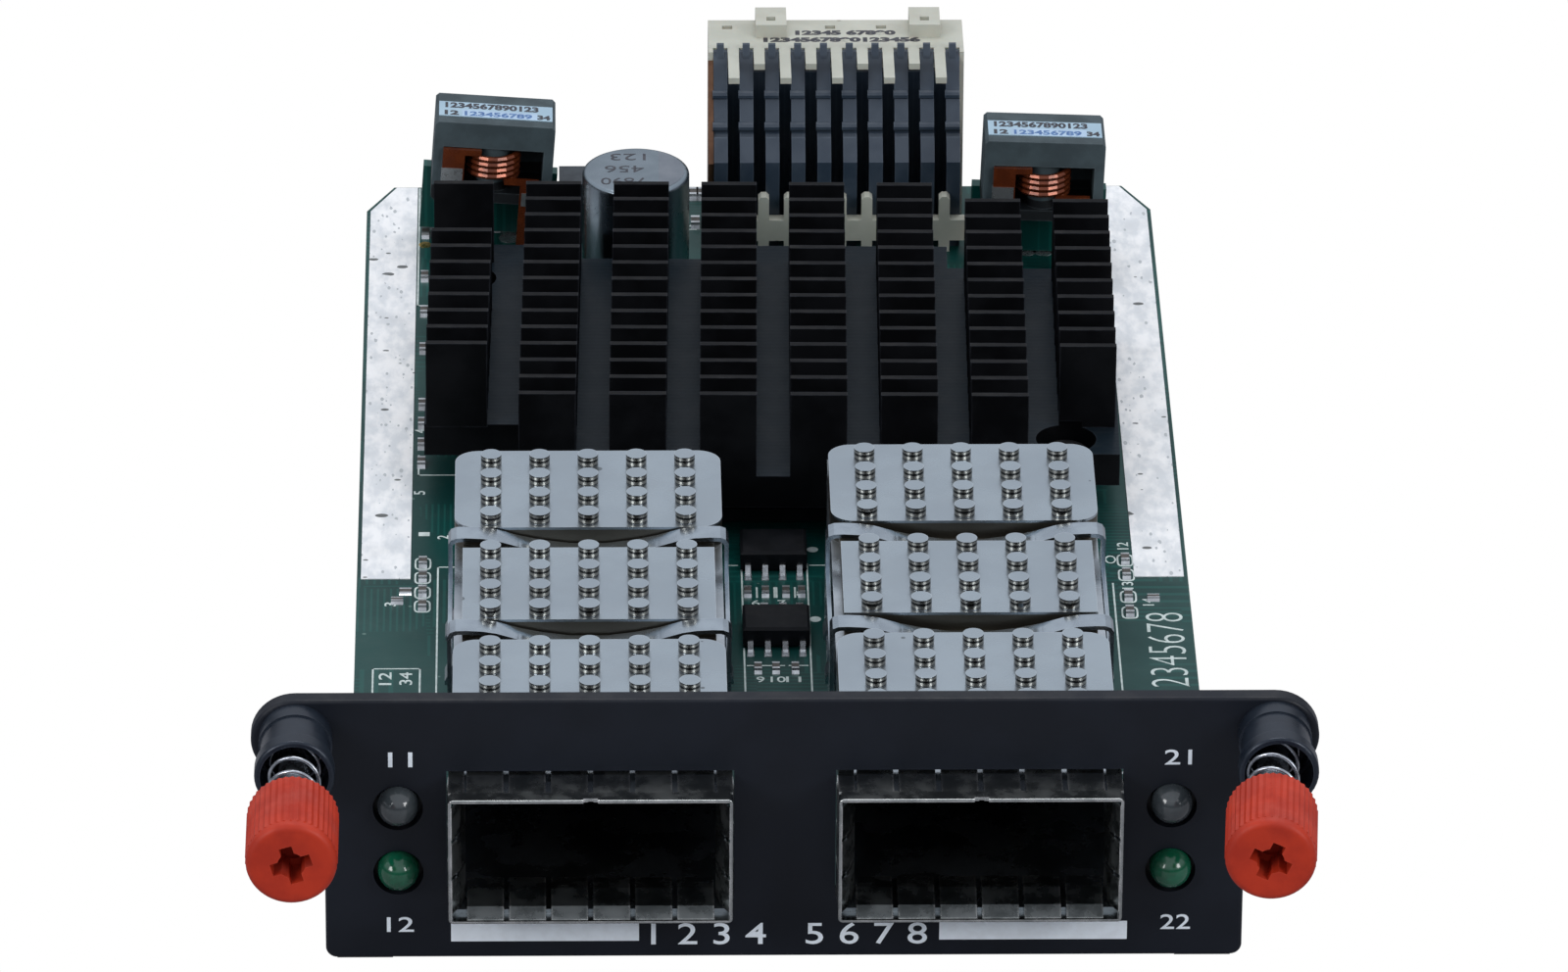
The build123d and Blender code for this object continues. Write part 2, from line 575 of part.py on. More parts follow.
def connector_housing():
    """The moulded shroud: top hood with a comb edge, a pocket, mating slots, two keys."""
    x0 = CONNECTOR_X - HOUSING_W / 2
    x1 = CONNECTOR_X + HOUSING_W / 2
    body = block(x0, x1, HOUSING_FRONT, CONNECTOR_REAR, 0.0, CONNECTOR_TOP)
    _, pocket_rear, pocket_top = WAFER_REAR
    body -= block(x0 + HOUSING_WALL, x1 - HOUSING_WALL, 107.0, pocket_rear + 0.05, -0.1, pocket_top + 0.05)
    first = CONNECTOR_X - (WAFERS - 1) * WAFER_PITCH / 2
    for i in range(WAFERS):
        x = first + i * WAFER_PITCH
        body -= block(x - 0.56, x + 0.56, 107.0, 108.4, 12.0, CONNECTOR_TOP + 1)
        body -= block(x - 0.6, x + 0.6, 110.4, CONNECTOR_REAR + 1, 1.6, 12.4)
    for i in range(WAFERS - 1):
        x = first + (i + 0.5) * WAFER_PITCH
        y0 = 103.0 if i % 2 == 0 else 105.5
        body += block(x - 0.42, x + 0.42, y0, HOUSING_FRONT + 0.1, 13.5, CONNECTOR_TOP)
    for x in (0.91, 12.85):
        key = block(x - 1.2, x + 1.2, 110.2, CONNECTOR_REAR, CONNECTOR_TOP - 0.1, CONNECTOR_TOP + 1.1)
        body += key - block(x - 0.35, x + 0.35, 111.0, 111.7, CONNECTOR_TOP + 0.6, CONNECTOR_TOP + 2)
    for x in (-2.48, 5.53, 9.5):
        body -= block(x - 0.4, x + 0.4, 111.8, 112.4, CONNECTOR_TOP - 0.7, CONNECTOR_TOP + 1)
    return body


def connector_wafers():
    """Ten blades; their black rear bodies stand side by side in the housing's pocket."""
    first = CONNECTOR_X - (WAFERS - 1) * WAFER_PITCH / 2
    room = HOUSING_W / 2 - HOUSING_WALL
    y0, y1, top = WAFER_REAR
    wafers = []
    for i in range(WAFERS):
        x = first + i * WAFER_PITCH
        left = max(x - WAFER_PITCH / 2, CONNECTOR_X - room)
        right = min(x + WAFER_PITCH / 2, CONNECTOR_X + room)
        wafer = prism_x(wafer_outline(), x - WAFER_T / 2, x + WAFER_T / 2)
        wafers.append(wafer + block(left, right, y0, y1, 0.0, top))
    return group(wafers)


def connector_organizer():
    """The comb in front of the wafers: one cross bar and a post per gap."""
    x0 = CONNECTOR_X - WAFERS * WAFER_PITCH / 2
    x1 = CONNECTOR_X + WAFERS * WAFER_PITCH / 2
    body = block(x0, x1, 101.0, 102.0, 0.95, 2.7)
    for i in range(1, WAFERS):
        x = x0 + i * WAFER_PITCH + POST_SHIFT
        post = block(x - 0.42, x + 0.42, 101.0, 102.0, 0.0, 4.7)
        body += chamfer(post.faces().sort_by(Axis.Z)[-1].edges().filter_by(Axis.Y), 0.22)
    return body


def ground_blade():
    """The copper-coloured blade outside the first wafer."""
    x = CONNECTOR_X - (WAFERS - 1) * WAFER_PITCH / 2 - WAFER_T / 2
    outline = [(102.2, 0.0), (102.2, 7.0), (104.2, 9.7), (107.4, 13.4), (107.4, 0.0)]
    return prism_x(outline, x - 0.45, x - 0.03)


def connector_tails():
    """Contact tails below the board, five under every wafer."""
    first = CONNECTOR_X - (WAFERS - 1) * WAFER_PITCH / 2
    tails = []
    for i in range(WAFERS):
        for j in range(5):
            x = first + i * WAFER_PITCH
            y = 103.0 + j * 1.4
            tails.append(block(x - 0.2, x + 0.2, y - 0.2, y + 0.2, -BOARD_T - 0.9, -BOARD_T))
    return group(tails)


def choke_place(x, y, lean):
    return Pos(x, y, 0) * Rot(0, lean, 0)


def choke_core():
    """A ferrite cup open to the front, with a round post for the winding."""
    y0, y1 = CHOKE_Y
    half, w0, w1 = CHOKE_WINDOW
    core = block(-CHOKE_W / 2, CHOKE_W / 2, y0, y1, *CHOKE_Z)
    core = chamfer(core.edges().filter_by(Axis.Y), 0.25)
    core -= block(-half, half, y0 - 1, y1 - CHOKE_BACK, w0, w1)
    return core + rod_z(1.3, w0 - 0.1, w1 + 0.1, 0, COIL_Y)


def choke_coil(lean):
    """The turns round the core's post and two flat legs that stand on the board."""
    z0, z1 = COIL_Z
    coil = Pos(0, COIL_Y, z0) * spring(COIL_R, COIL_WIRE_R, z1 - z0, COIL_TURNS, start=COIL_START)
    front = CHOKE_Y[0]
    slope = math.tan(math.radians(lean))
    left = block(-3.9, -2.2, front - STRAP_T, front, -2.2 * slope, z1)
    left += block(-2.3, -0.95, front - STRAP_T, front, z1 - 0.45, z1)
    right = block(2.2, 3.6, front - STRAP_T, front, 3.6 * slope, z0 + 0.45)
    right += block(0.95, 2.3, front - STRAP_T, front, z0, z0 + 0.45)
    return coil + left + right


def choke_board(lean):
    """A small upright board behind the core; it stands on the main board."""
    rear = CHOKE_Y[1]
    foot = 5.2 * math.tan(math.radians(lean))
    return block(-5.2, 5.2, rear, rear + 1.1, foot, CHOKE_Z[0] + 0.35)


def choke_label():
    half = CHOKE_W / 2 - 0.25
    return block(-half, half, CHOKE_Y[0] + 1.1, CHOKE_Y[1] - 1.55, CHOKE_Z[1], CHOKE_Z[1] + 0.06)


def can():
    x, y = CAN_XY
    body = rod_z(CAN_R, 0.8, CAN_TOP, x, y)
    body = fillet(body.edges().group_by(Axis.Z)[-1], 0.35)
    groove = rod_z(CAN_R + 1, 2.0, 2.6, x, y) - rod_z(CAN_R - 0.25, 1.9, 2.7, x, y)
    return body - groove


def can_base():
    x, y = CAN_XY
    base = block(x - 4.15, x + 4.15, y - 4.15, y + 4.15, 0.0, 0.8)
    base = chamfer(base.edges().filter_by(Axis.Z).sort_by(Axis.Y)[:2], 1.2)
    return base


def small_chip(y):
    body = block(-2.45, 2.45, y - 1.95, y + 1.95, 0.15, 1.6)
    return Pos(0.1, 0, 0) * chamfer(body.faces().sort_by(Axis.Z)[-1].edges(), 0.2)


def small_chip_leads(y):
    """Eight gull-wing leads of a small chip."""
    outline = [(1.95, 0.75), (2.35, 0.75), (2.6, 0.2), (3.05, 0.2), (3.05, 0.0), (2.45, 0.0)]
    outline += [(2.2, 0.58), (1.95, 0.58)]
    leads = []
    for i in range(4):
        x = 0.1 + (i - 1.5) * 1.27
        for hand in (-1, 1):
            points = [(y + hand * v, z) for v, z in outline]
            leads.append(prism_x(points, x - 0.2, x + 0.2))
    return leads


def passive(x, y, width, depth, height):
    return block(x - width / 2, x + width / 2, y - depth / 2, y + depth / 2, 0.0, height)


def passives():
    """Small surface-mount blocks round the ports, the heat sink and the rear."""
    side = PORT_PITCH / 2 + CAGE_HALF
    parts = []
    for y in (49.7, 47.4, 45.1, 43.0):
        parts.append(passive(-side - 2.55, y, 0.6, 0.9, 0.3))
    for y in (49.8, 47.5, 44.0, 41.6):
        parts.append(passive(side + 2.85 - (49.8 - y) * 0.03, y, 0.8, 1.1, 0.4))
    for i in range(7):
        parts.append(passive(-1.6 + 0.62 * i, SMALL_CHIP_Y[0] - 5.9, 0.36, 0.8, 0.3))
    for i in range(6):
        parts.append(passive(-1.3 + 0.62 * i, SMALL_CHIP_Y[0] - 7.6, 0.36, 0.8, 0.3))
    for y in (62.6, 65.5, 68.5, 71.5, 75.0, 84.3, 90.6):
        parts.append(passive(-side - 2.75, y, 0.7, 1.2, 0.45))
    for x, y in ((-20.9, 106.9), (-18.6, 106.6), (18.4, 104.0), (20.5, 104.8), (22.6, 103.6), (-5.2, 103.2), (-5.2, 106.0)):
        parts.append(passive(x, y, 0.9, 1.3, 0.5))
    for x, y in ((-side - 4.35, 43.7), (-side - 3.45, 40.9), (side + 4.65, 43.8)):
        parts.append(passive(x, y, 0.9, 0.6, 0.3))
    return group(parts)


def build():
    save("front_panel", front_panel())
    save("screw_ferrules", group([ferrule(sign) for _, sign in SIDES]))
    for index, (side, sign) in enumerate(SIDES):
        save(f"{side}_screw", leaned(captive_screw(), side, sign))
        save(f"{side}_knob", leaned(knob(side), side, sign))
        save(f"{side}_washer", leaned(washer(), side, sign))
        save(f"{side}_spring", leaned(screw_spring(), side, sign))
        save(f"{side}_cage", cage(sign))
        save(f"{side}_gasket", gasket(sign))
        save(f"{side}_port_connector", port_connector(sign))
        save(f"{side}_port_sink", port_sink(index, sign))
        save(f"{side}_clip", clip(index, sign))
    save("lamp_housings", group([lamp_housing(sign) for _, sign in SIDES]))
    for lamp, z in LAMP_Z.items():
        save(f"{lamp}_lenses", group([lens(sign, z) for _, sign in SIDES]))
    save("circuit_board", circuit_board())
    save("ground_strips", ground_strips())
    save("standoffs", group([standoff(sign) for _, sign in SIDES]))
    save("board_screws", group([board_screw(sign) for _, sign in SIDES]))
    x, y = CHIP_XY
    save("switch_chip", block(x - CHIP_HALF, x + CHIP_HALF, y - CHIP_HALF, y + CHIP_HALF, 0.4, 1.4)
         + block(x - 12.5, x + 12.5, y - 12.5, y + 12.5, 1.3, 2.85)
         + block(x - 15.0, x + 15.0, y - 15.0, y + 15.0, 0.0, 0.45))
    save("thermal_pad", block(x - 12.0, x + 12.0, y - 12.0, y + 12.0, 2.85, SINK_Z[0]))
    save("main_heatsink", main_sink())
    save("push_pins", group([push_pin(x, y, top) for x, y, _, top in PINS]))
    save("pin_springs", group([pin_spring(x, y, top) for x, y, _, top in PINS]))
    save("connector_housing", connector_housing())
    save("connector_wafers", connector_wafers())
    save("connector_organizer", connector_organizer())
    save("ground_blade", ground_blade())
    save("connector_tails", connector_tails())
    places = [choke_place(*choke) for choke in CHOKES]
    save("choke_cores", group([place * choke_core() for place in places]))
    save("choke_coils", group([place * choke_coil(choke[2]) for place, choke in zip(places, CHOKES)]))
    save("choke_boards", group([place * choke_board(choke[2]) for place, choke in zip(places, CHOKES)]))
    save("choke_labels", group([place * choke_label() for place in places]))
    save("capacitor_can", can())
    save("capacitor_base", can_base())
    save("small_chips", group([small_chip(y) for y in SMALL_CHIP_Y]))
    save("small_chip_leads", group([lead for y in SMALL_CHIP_Y for lead in small_chip_leads(y)]))
    save("passives", passives())
    save("ceramic_block", passive(-14.55, 104.2, 2.1, 3.2, 5.1))


build()
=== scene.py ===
# %% [markdown]
# # Switch line card: looks, camera and light
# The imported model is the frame: its nodes keep their shapes, and this script gives them finishes,
# adds print and small pieces, and lights them. Everything is in metres in the card's own frame.
# The origin is on the rear face of the front panel, +Y runs to the backplane connector, +Z is up.

# %% Frame
import math

import bpy
import numpy as np
from mathutils import Matrix, Vector


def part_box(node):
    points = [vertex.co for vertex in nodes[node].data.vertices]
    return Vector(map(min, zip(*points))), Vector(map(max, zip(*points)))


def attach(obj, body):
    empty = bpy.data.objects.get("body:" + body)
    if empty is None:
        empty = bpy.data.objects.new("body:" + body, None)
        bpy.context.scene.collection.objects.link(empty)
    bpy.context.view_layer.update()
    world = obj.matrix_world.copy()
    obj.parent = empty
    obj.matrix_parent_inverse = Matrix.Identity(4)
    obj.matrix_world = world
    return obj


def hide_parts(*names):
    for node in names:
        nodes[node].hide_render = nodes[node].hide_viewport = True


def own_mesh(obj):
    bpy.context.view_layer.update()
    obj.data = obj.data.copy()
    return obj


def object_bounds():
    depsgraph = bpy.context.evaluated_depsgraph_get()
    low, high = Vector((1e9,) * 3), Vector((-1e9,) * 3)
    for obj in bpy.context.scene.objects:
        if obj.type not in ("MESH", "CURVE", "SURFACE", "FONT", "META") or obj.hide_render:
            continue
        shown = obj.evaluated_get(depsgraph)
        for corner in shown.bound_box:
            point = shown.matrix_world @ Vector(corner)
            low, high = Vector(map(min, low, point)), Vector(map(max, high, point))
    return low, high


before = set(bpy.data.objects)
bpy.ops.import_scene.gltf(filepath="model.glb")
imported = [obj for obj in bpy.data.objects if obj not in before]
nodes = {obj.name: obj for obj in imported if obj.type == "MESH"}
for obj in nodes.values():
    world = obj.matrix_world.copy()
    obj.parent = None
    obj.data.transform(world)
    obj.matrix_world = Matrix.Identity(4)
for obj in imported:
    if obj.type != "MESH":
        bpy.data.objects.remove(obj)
cad_box = [list(corner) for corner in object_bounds()]
print("packed nodes:", len(nodes))

# %% [markdown]
# ## Shared sizes
# The photograph was measured from the panel's front face and the board's top face, because both
# are easy to see in it. `to_card()` turns such drawing millimetres into the card's frame, a whole
# array at once, so that the numbers below stay readable.

# %% Sizes
PANEL_T = 1.2
ORIGIN_Z = 5.1
PRINT_T = 0.012


def to_card(points):
    """Drawing millimetres, as rows of (x, y, z), to metres in the card's frame."""
    return (np.asarray(points, float) - (0, PANEL_T, ORIGIN_Z)) / 1000


def at(x, y, z):
    """One drawing point in the card's frame."""
    return Vector(to_card((x, y, z)))


print("the board's top lies", ORIGIN_Z, "mm below the origin")

# %% [markdown]
# ## Camera
# The photograph shows almost no perspective, so the camera stood far off with a long lens. It
# could be set by eye, but a pinhole fitted on the port openings, the board's edges and the
# backplane connector repeats the picture: it stands 0.85 m away and looks 27.6 degrees down.

# %% Camera
CAMERA_AT = (-16.151, -735.85, 417.71)
YAW, PITCH, ROLL = math.radians(1.2395), math.radians(27.6335), math.radians(0.400)
FOCAL_PX, PICTURE_PX = 12302.0, 1600
SENSOR_MM = 36.0
CLIP_NEAR, CLIP_FAR = 0.05, 20
forward = Vector((math.sin(YAW) * math.cos(PITCH), math.cos(YAW) * math.cos(PITCH), -math.sin(PITCH)))
level = Vector((math.cos(YAW), -math.sin(YAW), 0))
rise = level.cross(forward)
right = math.cos(ROLL) * level + math.sin(ROLL) * rise
up = -math.sin(ROLL) * level + math.cos(ROLL) * rise
lens = bpy.data.cameras.new("camera")
lens.sensor_width = SENSOR_MM
lens.lens = FOCAL_PX * SENSOR_MM / PICTURE_PX
lens.clip_start = CLIP_NEAR
lens.clip_end = CLIP_FAR
camera = bpy.data.objects.new("camera", lens)
bpy.context.scene.collection.objects.link(camera)
turn = Matrix((right, up, -forward)).transposed().to_4x4()
camera.matrix_world = Matrix.Translation(at(*CAMERA_AT)) @ turn
bpy.context.scene.camera = camera
print("focal length:", round(lens.lens, 1), "mm")

# %% [markdown]
# ## Node-group tools
# A finish is built from effects, and an effect from nodes. Wiring nodes by hand takes four lines
# each, so `put()` adds one, sets it and links it in a single call. The short sums below it keep
# the effects readable. Patterns read object coordinates, which need no unwrapping.

# %% Group tools
FLOAT, COLOR, VECTOR = "NodeSocketFloat", "NodeSocketColor", "NodeSocketVector"


def new_group(name, inputs, outputs):
    """An empty shader group with named input sockets and their defaults."""
    tree = bpy.data.node_groups.new(name, "ShaderNodeTree")
    print("effect", name, "with", len(inputs), "inputs")
    for label, kind, value in inputs:
        tree.interface.new_socket(label, in_out="INPUT", socket_type=kind).default_value = value
    for label, kind in outputs:
        tree.interface.new_socket(label, in_out="OUTPUT", socket_type=kind)
    return tree, tree.nodes.new("NodeGroupInput").outputs, tree.nodes.new("NodeGroupOutput").inputs


def put(tree, kind, links=None, **settings):
    """Adds a node, sets its properties or inputs, and links its sockets."""
    node = tree.nodes.new(kind)
    for key, value in settings.items():
        setattr(node, key, value)
    for key, value in (links or {}).items():
        if isinstance(value, bpy.types.NodeSocket):
            tree.links.new(value, node.inputs[key])
        else:
            node.inputs[key].default_value = value
    return node


def math_node(tree, operation, a, b=0.0, clamp=False):
    return put(tree, "ShaderNodeMath", {0: a, 1: b}, operation=operation, use_clamp=clamp).outputs[0]


def times(tree, a, b, clamp=False):
    return math_node(tree, "MULTIPLY", a, b, clamp)


def plus(tree, a, b, clamp=False):
    return math_node(tree, "ADD", a, b, clamp)


def minus(tree, a, b):
    return math_node(tree, "SUBTRACT", a, b)


def vector_math(tree, operation, a, b):
    return put(tree, "ShaderNodeVectorMath", {0: a, 1: b}, operation=operation).outputs


def axes(tree, vector):
    """A vector's X, Y and Z outputs."""
    return put(tree, "ShaderNodeSeparateXYZ", {0: vector}).outputs


def object_place(tree):
    """Where a shaded point lies on its own object."""
    return put(tree, "ShaderNodeTexCoord").outputs["Object"]


def facing(tree, kind="Normal"):
    """Which way a shaded point faces."""
    return put(tree, "ShaderNodeNewGeometry").outputs[kind]


def mix_colour(tree, factor, a, b):
    """Two colours mixed; a Mix node's colour sockets are inputs 6 and 7 and output 2."""
    return put(tree, "ShaderNodeMix", {"Factor": factor, 6: a, 7: b}, data_type="RGBA").outputs[2]


def ramp(tree, value, low, high, to_low=0.0, to_high=1.0):
    """A smooth step from one range to another."""
    links = {"Value": value, "From Min": low, "From Max": high, "To Min": to_low, "To Max": to_high}
    return put(tree, "ShaderNodeMapRange", links, interpolation_type="SMOOTHSTEP").outputs["Result"]


def object_noise(tree, scale, detail=4.0, stretch=None, roughness=0.55):
    """Noise in object coordinates, given in cycles per metre."""
    where = object_place(tree)
    if stretch is not None:
        where = vector_math(tree, "MULTIPLY", where, stretch)[0]
    links = {"Vector": where, "Scale": scale, "Detail": detail, "Roughness": roughness}
    return put(tree, "ShaderNodeTexNoise", links).outputs["Fac"]


# %% [markdown]
# ## Patches, worn edges and painted edge highlights
# No sheet metal or plastic has one even colour, and its edges rub bright first. A painted picture
# could show that, but noise needs no picture and suits any piece. `mottle` varies colour and
# roughness in patches. `edge_wear_and_highlight` compares the normal of a rounded corner with the true one:
# where the two differ there is an edge, and broken noise rubs it to a second colour. On most
# finishes that colour is wear. On the gasket it is a painted highlight, and on the black sink partly one.

# %% Patches, worn edges and painted edge highlights
def mottle_group():
    inputs = [("Color", COLOR, (0.5, 0.5, 0.5, 1)), ("Second", COLOR, (0.4, 0.4, 0.4, 1)),
              ("Scale", FLOAT, 200.0), ("Stretch", VECTOR, (1, 1, 1)), ("Low", FLOAT, 0.35),
              ("High", FLOAT, 0.65), ("Rough low", FLOAT, 0.3), ("Rough high", FLOAT, 0.4)]
    tree, i, o = new_group("mottle", inputs, [("Color", COLOR), ("Roughness", FLOAT)])
    patch = ramp(tree, object_noise(tree, i["Scale"], 5.0, i["Stretch"]), i["Low"], i["High"])
    fine = object_noise(tree, times(tree, i["Scale"], 6.3), 2.0)
    blend = plus(tree, times(tree, patch, 0.6), times(tree, fine, 0.4))
    tree.links.new(mix_colour(tree, patch, i["Color"], i["Second"]), o["Color"])
    tree.links.new(ramp(tree, blend, 0.0, 1.0, i["Rough low"], i["Rough high"]), o["Roughness"])
    return tree


def edge_wear_group():
    inputs = [("Color", COLOR, (0.5, 0.5, 0.5, 1)), ("Worn and highlight", COLOR, (0.8, 0.8, 0.8, 1)),
              ("Radius", FLOAT, 0.0002), ("Amount", FLOAT, 0.5), ("Scale", FLOAT, 900.0)]
    tree, i, o = new_group("edge_wear_and_highlight", inputs, [("Color", COLOR)])
    rounded = put(tree, "ShaderNodeBevel", {"Radius": i["Radius"]}, samples=4).outputs[0]
    alike = vector_math(tree, "DOT_PRODUCT", rounded, facing(tree))["Value"]
    edge = ramp(tree, minus(tree, 1.0, alike), 0.02, 0.2)
    patch = ramp(tree, object_noise(tree, i["Scale"], 4.0), 0.3, 0.7, 0.25, 1.0)
    mask = times(tree, times(tree, edge, patch), i["Amount"], clamp=True)
    tree.links.new(mix_colour(tree, mask, i["Color"], i["Worn and highlight"]), o["Color"])
    return tree


MOTTLE, EDGE_WEAR_AND_HIGHLIGHT = mottle_group(), edge_wear_group()

# %% [markdown]
# ## Dust and grain
# Dust settles on what faces up and dulls it, so `dust` reads the normal's Z and breaks it with
# noise. Cast, painted and moulded faces also have a fine tooth. It is far too small for a mesh, so
# `grain` gives a height that a material's Bump node turns into shading.

# %% Dust and grain
def dust_group():
    inputs = [("Color", COLOR, (0.5, 0.5, 0.5, 1)), ("Dust", COLOR, (0.42, 0.4, 0.37, 1)),
              ("Roughness", FLOAT, 0.4), ("Amount", FLOAT, 0.2), ("Scale", FLOAT, 350.0)]
    tree, i, o = new_group("dust", inputs, [("Color", COLOR), ("Roughness", FLOAT)])
    level = ramp(tree, axes(tree, facing(tree))["Z"], 0.3, 0.95)
    patch = ramp(tree, object_noise(tree, i["Scale"], 7.0, None, 0.7), 0.42, 0.72)
    mask = times(tree, times(tree, level, patch), i["Amount"], clamp=True)
    tree.links.new(mix_colour(tree, mask, i["Color"], i["Dust"]), o["Color"])
    tree.links.new(plus(tree, i["Roughness"], times(tree, mask, 0.35), clamp=True), o["Roughness"])
    return tree


def grain_group():
    inputs = [("Scale", FLOAT, 4000.0), ("Stretch", VECTOR, (1, 1, 1)), ("Wave", FLOAT, 0.0)]
    tree, i, o = new_group("grain", inputs, [("Height", FLOAT)])
    fine = object_noise(tree, i["Scale"], 3.0, i["Stretch"])
    broad = object_noise(tree, times(tree, i["Scale"], 0.08), 2.0)
    tree.links.new(plus(tree, fine, times(tree, broad, i["Wave"])), o["Height"])
    return tree


DUST, GRAIN = dust_group(), grain_group()

# %% [markdown]
# ## Cutter lines, traces and specks
# The black sink was sawn, which left even waves: `lines` makes them from a distance along a
# direction. The board's copper shows through its green mask as bundles of lines: `traces` gives
# each cell of a square Voronoi pattern its own direction and spacing. `specks` keeps a share of
# the cells of another Voronoi pattern and draws a dot of a chance size in each.

# %% Cutter lines, traces and specks
def lines_group():
    inputs = [("Direction", VECTOR, (0, 1, 0)), ("Period", FLOAT, 0.0005), ("Waver", FLOAT, 0.0)]
    tree, i, o = new_group("lines", inputs, [("Fac", FLOAT)])
    along = vector_math(tree, "DOT_PRODUCT", object_place(tree), i["Direction"])["Value"]
    shift = times(tree, object_noise(tree, 160.0, 2.0), i["Waver"])
    phase = plus(tree, math_node(tree, "DIVIDE", along, i["Period"]), shift)
    tree.links.new(times(tree, math_node(tree, "PINGPONG", phase, 0.5), 2.0), o["Fac"])
    return tree


def traces_group():
    inputs = [("Color", COLOR, (0, 0.1, 0.07, 1)), ("Trace", COLOR, (0.02, 0.16, 0.12, 1)),
              ("Amount", FLOAT, 0.5), ("Scale", FLOAT, 150.0)]
    tree, i, o = new_group("traces", inputs, [("Color", COLOR)])
    level = vector_math(tree, "MULTIPLY", object_place(tree), (1, 1, 0))[0]
    links = {"Vector": level, "Scale": i["Scale"], "Randomness": 0.85}
    cell = put(tree, "ShaderNodeTexVoronoi", links, distance="CHEBYCHEV").outputs["Color"]
    pick, spot = axes(tree, cell), axes(tree, level)
    turned = math_node(tree, "GREATER_THAN", pick["X"], 0.5)
    along = plus(tree, times(tree, spot["X"], turned), times(tree, spot["Y"], minus(tree, 1.0, turned)))
    period = ramp(tree, pick["Y"], 0.0, 1.0, 0.00045, 0.0011)
    wave = math_node(tree, "PINGPONG", math_node(tree, "DIVIDE", along, period), 0.5)
    line = ramp(tree, wave, 0.30, 0.38)
    there = math_node(tree, "GREATER_THAN", pick["Z"], 0.45)
    mask = times(tree, times(tree, line, there), i["Amount"], clamp=True)
    tree.links.new(mix_colour(tree, mask, i["Color"], i["Trace"]), o["Color"])
    return tree


def specks_group():
    inputs = [("Color", COLOR, (0.5, 0.5, 0.5, 1)), ("Speck", COLOR, (0.05, 0.05, 0.05, 1)),
              ("Scale", FLOAT, 900.0), ("Stretch", VECTOR, (1, 1, 1)), ("Share", FLOAT, 0.2),
              ("Size", FLOAT, 0.3)]
    tree, i, o = new_group("specks", inputs, [("Color", COLOR)])
    where = vector_math(tree, "MULTIPLY", object_place(tree), i["Stretch"])[0]
    cells = put(tree, "ShaderNodeTexVoronoi", {"Vector": where, "Scale": i["Scale"]}).outputs
    pick = axes(tree, cells["Color"])
    chosen = math_node(tree, "LESS_THAN", pick["X"], i["Share"])
    close = math_node(tree, "LESS_THAN", cells["Distance"], times(tree, pick["Y"], i["Size"]))
    mask = times(tree, chosen, close)
    tree.links.new(mix_colour(tree, mask, i["Color"], i["Speck"]), o["Color"])
    return tree


LINES, TRACES, SPECKS = lines_group(), traces_group(), specks_group()

# %% [markdown]
# ## Painted low shade and sheen, and painted peg bands
# Between the fins and the pegs the port sinks are painted darker than on top, as shade, and the
# cores are painted darker at their foot. Between the black sink's fins a paler, bluish tint is a
# painted reflection of the sky. More nodes could split them into pieces, but one mesh with a tint
# by height is lighter: one group paints a tint on what lies below a height, and the other paints
# the upright sides of the port sinks' pegs darker, with bands at foot, waist and head: a painted
# shadow at the foot and painted reflections above.

# %% Painted low shade and sheen, and painted peg bands
# Paints a tint on faces below a height: painted shade on the port sinks and the cores, and a painted sky
# reflection on the black sink.
def floor_group():
    inputs = [("Color", COLOR, (0.01, 0.01, 0.01, 1)), ("Painted tint", COLOR, (0.04, 0.05, 0.06, 1)),
              ("Height", FLOAT, 0.0), ("Roughness", FLOAT, 0.4), ("Tinted rough", FLOAT, 0.3),
              ("Any side", FLOAT, 0.0)]
    tree, i, o = new_group("floor", inputs, [("Color", COLOR), ("Roughness", FLOAT)])
    low = math_node(tree, "LESS_THAN", axes(tree, object_place(tree))["Z"], i["Height"])
    level = ramp(tree, axes(tree, facing(tree))["Z"], 0.7, 0.95)
    mask = times(tree, low, math_node(tree, "MAXIMUM", level, i["Any side"]))
    tree.links.new(mix_colour(tree, mask, i["Color"], i["Painted tint"]), o["Color"])
    above = times(tree, i["Roughness"], minus(tree, 1.0, mask))
    tree.links.new(plus(tree, above, times(tree, i["Tinted rough"], mask)), o["Roughness"])
    return tree


# Paints the pegs' upright sides darker as shade, with dark painted reflection bands at waist and head and a
# painted contact shadow at the foot.
def peg_group():
    inputs = [("Color", COLOR, (0.5, 0.5, 0.5, 1)), ("Side", COLOR, (0.3, 0.28, 0.25, 1)),
              ("Painted band shade", COLOR, (0.03, 0.03, 0.03, 1)), ("Foot", FLOAT, 0.0065), ("Rise", FLOAT, 0.0008)]
    tree, i, o = new_group("painted_peg_bands", inputs, [("Color", COLOR)])
    above = minus(tree, axes(tree, object_place(tree))["Z"], i["Foot"])
    share = math_node(tree, "DIVIDE", above, i["Rise"])
    tilt = math_node(tree, "ABSOLUTE", axes(tree, facing(tree, "True Normal"))["Z"])
    sides = math_node(tree, "LESS_THAN", tilt, 0.3)
    within = times(tree, math_node(tree, "GREATER_THAN", share, 0.0), sides)
    foot = ramp(tree, share, 0.08, 0.2, 1.0, 0.0)
    waist = put(tree, "ShaderNodeMath", {0: share, 1: 0.55, 2: 0.11}, operation="COMPARE").outputs[0]
    head = ramp(tree, share, 0.84, 0.92)
    # Painted contact shadow at the foot, painted reflection bands at waist and head.
    painted_bands = math_node(tree, "MAXIMUM", math_node(tree, "MAXIMUM", foot, waist), head)
    side = mix_colour(tree, painted_bands, i["Side"], i["Painted band shade"])
    tree.links.new(mix_colour(tree, within, i["Color"], side), o["Color"])
    return tree


PAINTED_LOW_SHADE_AND_SHEEN, PAINTED_PEG_BANDS = floor_group(), peg_group()

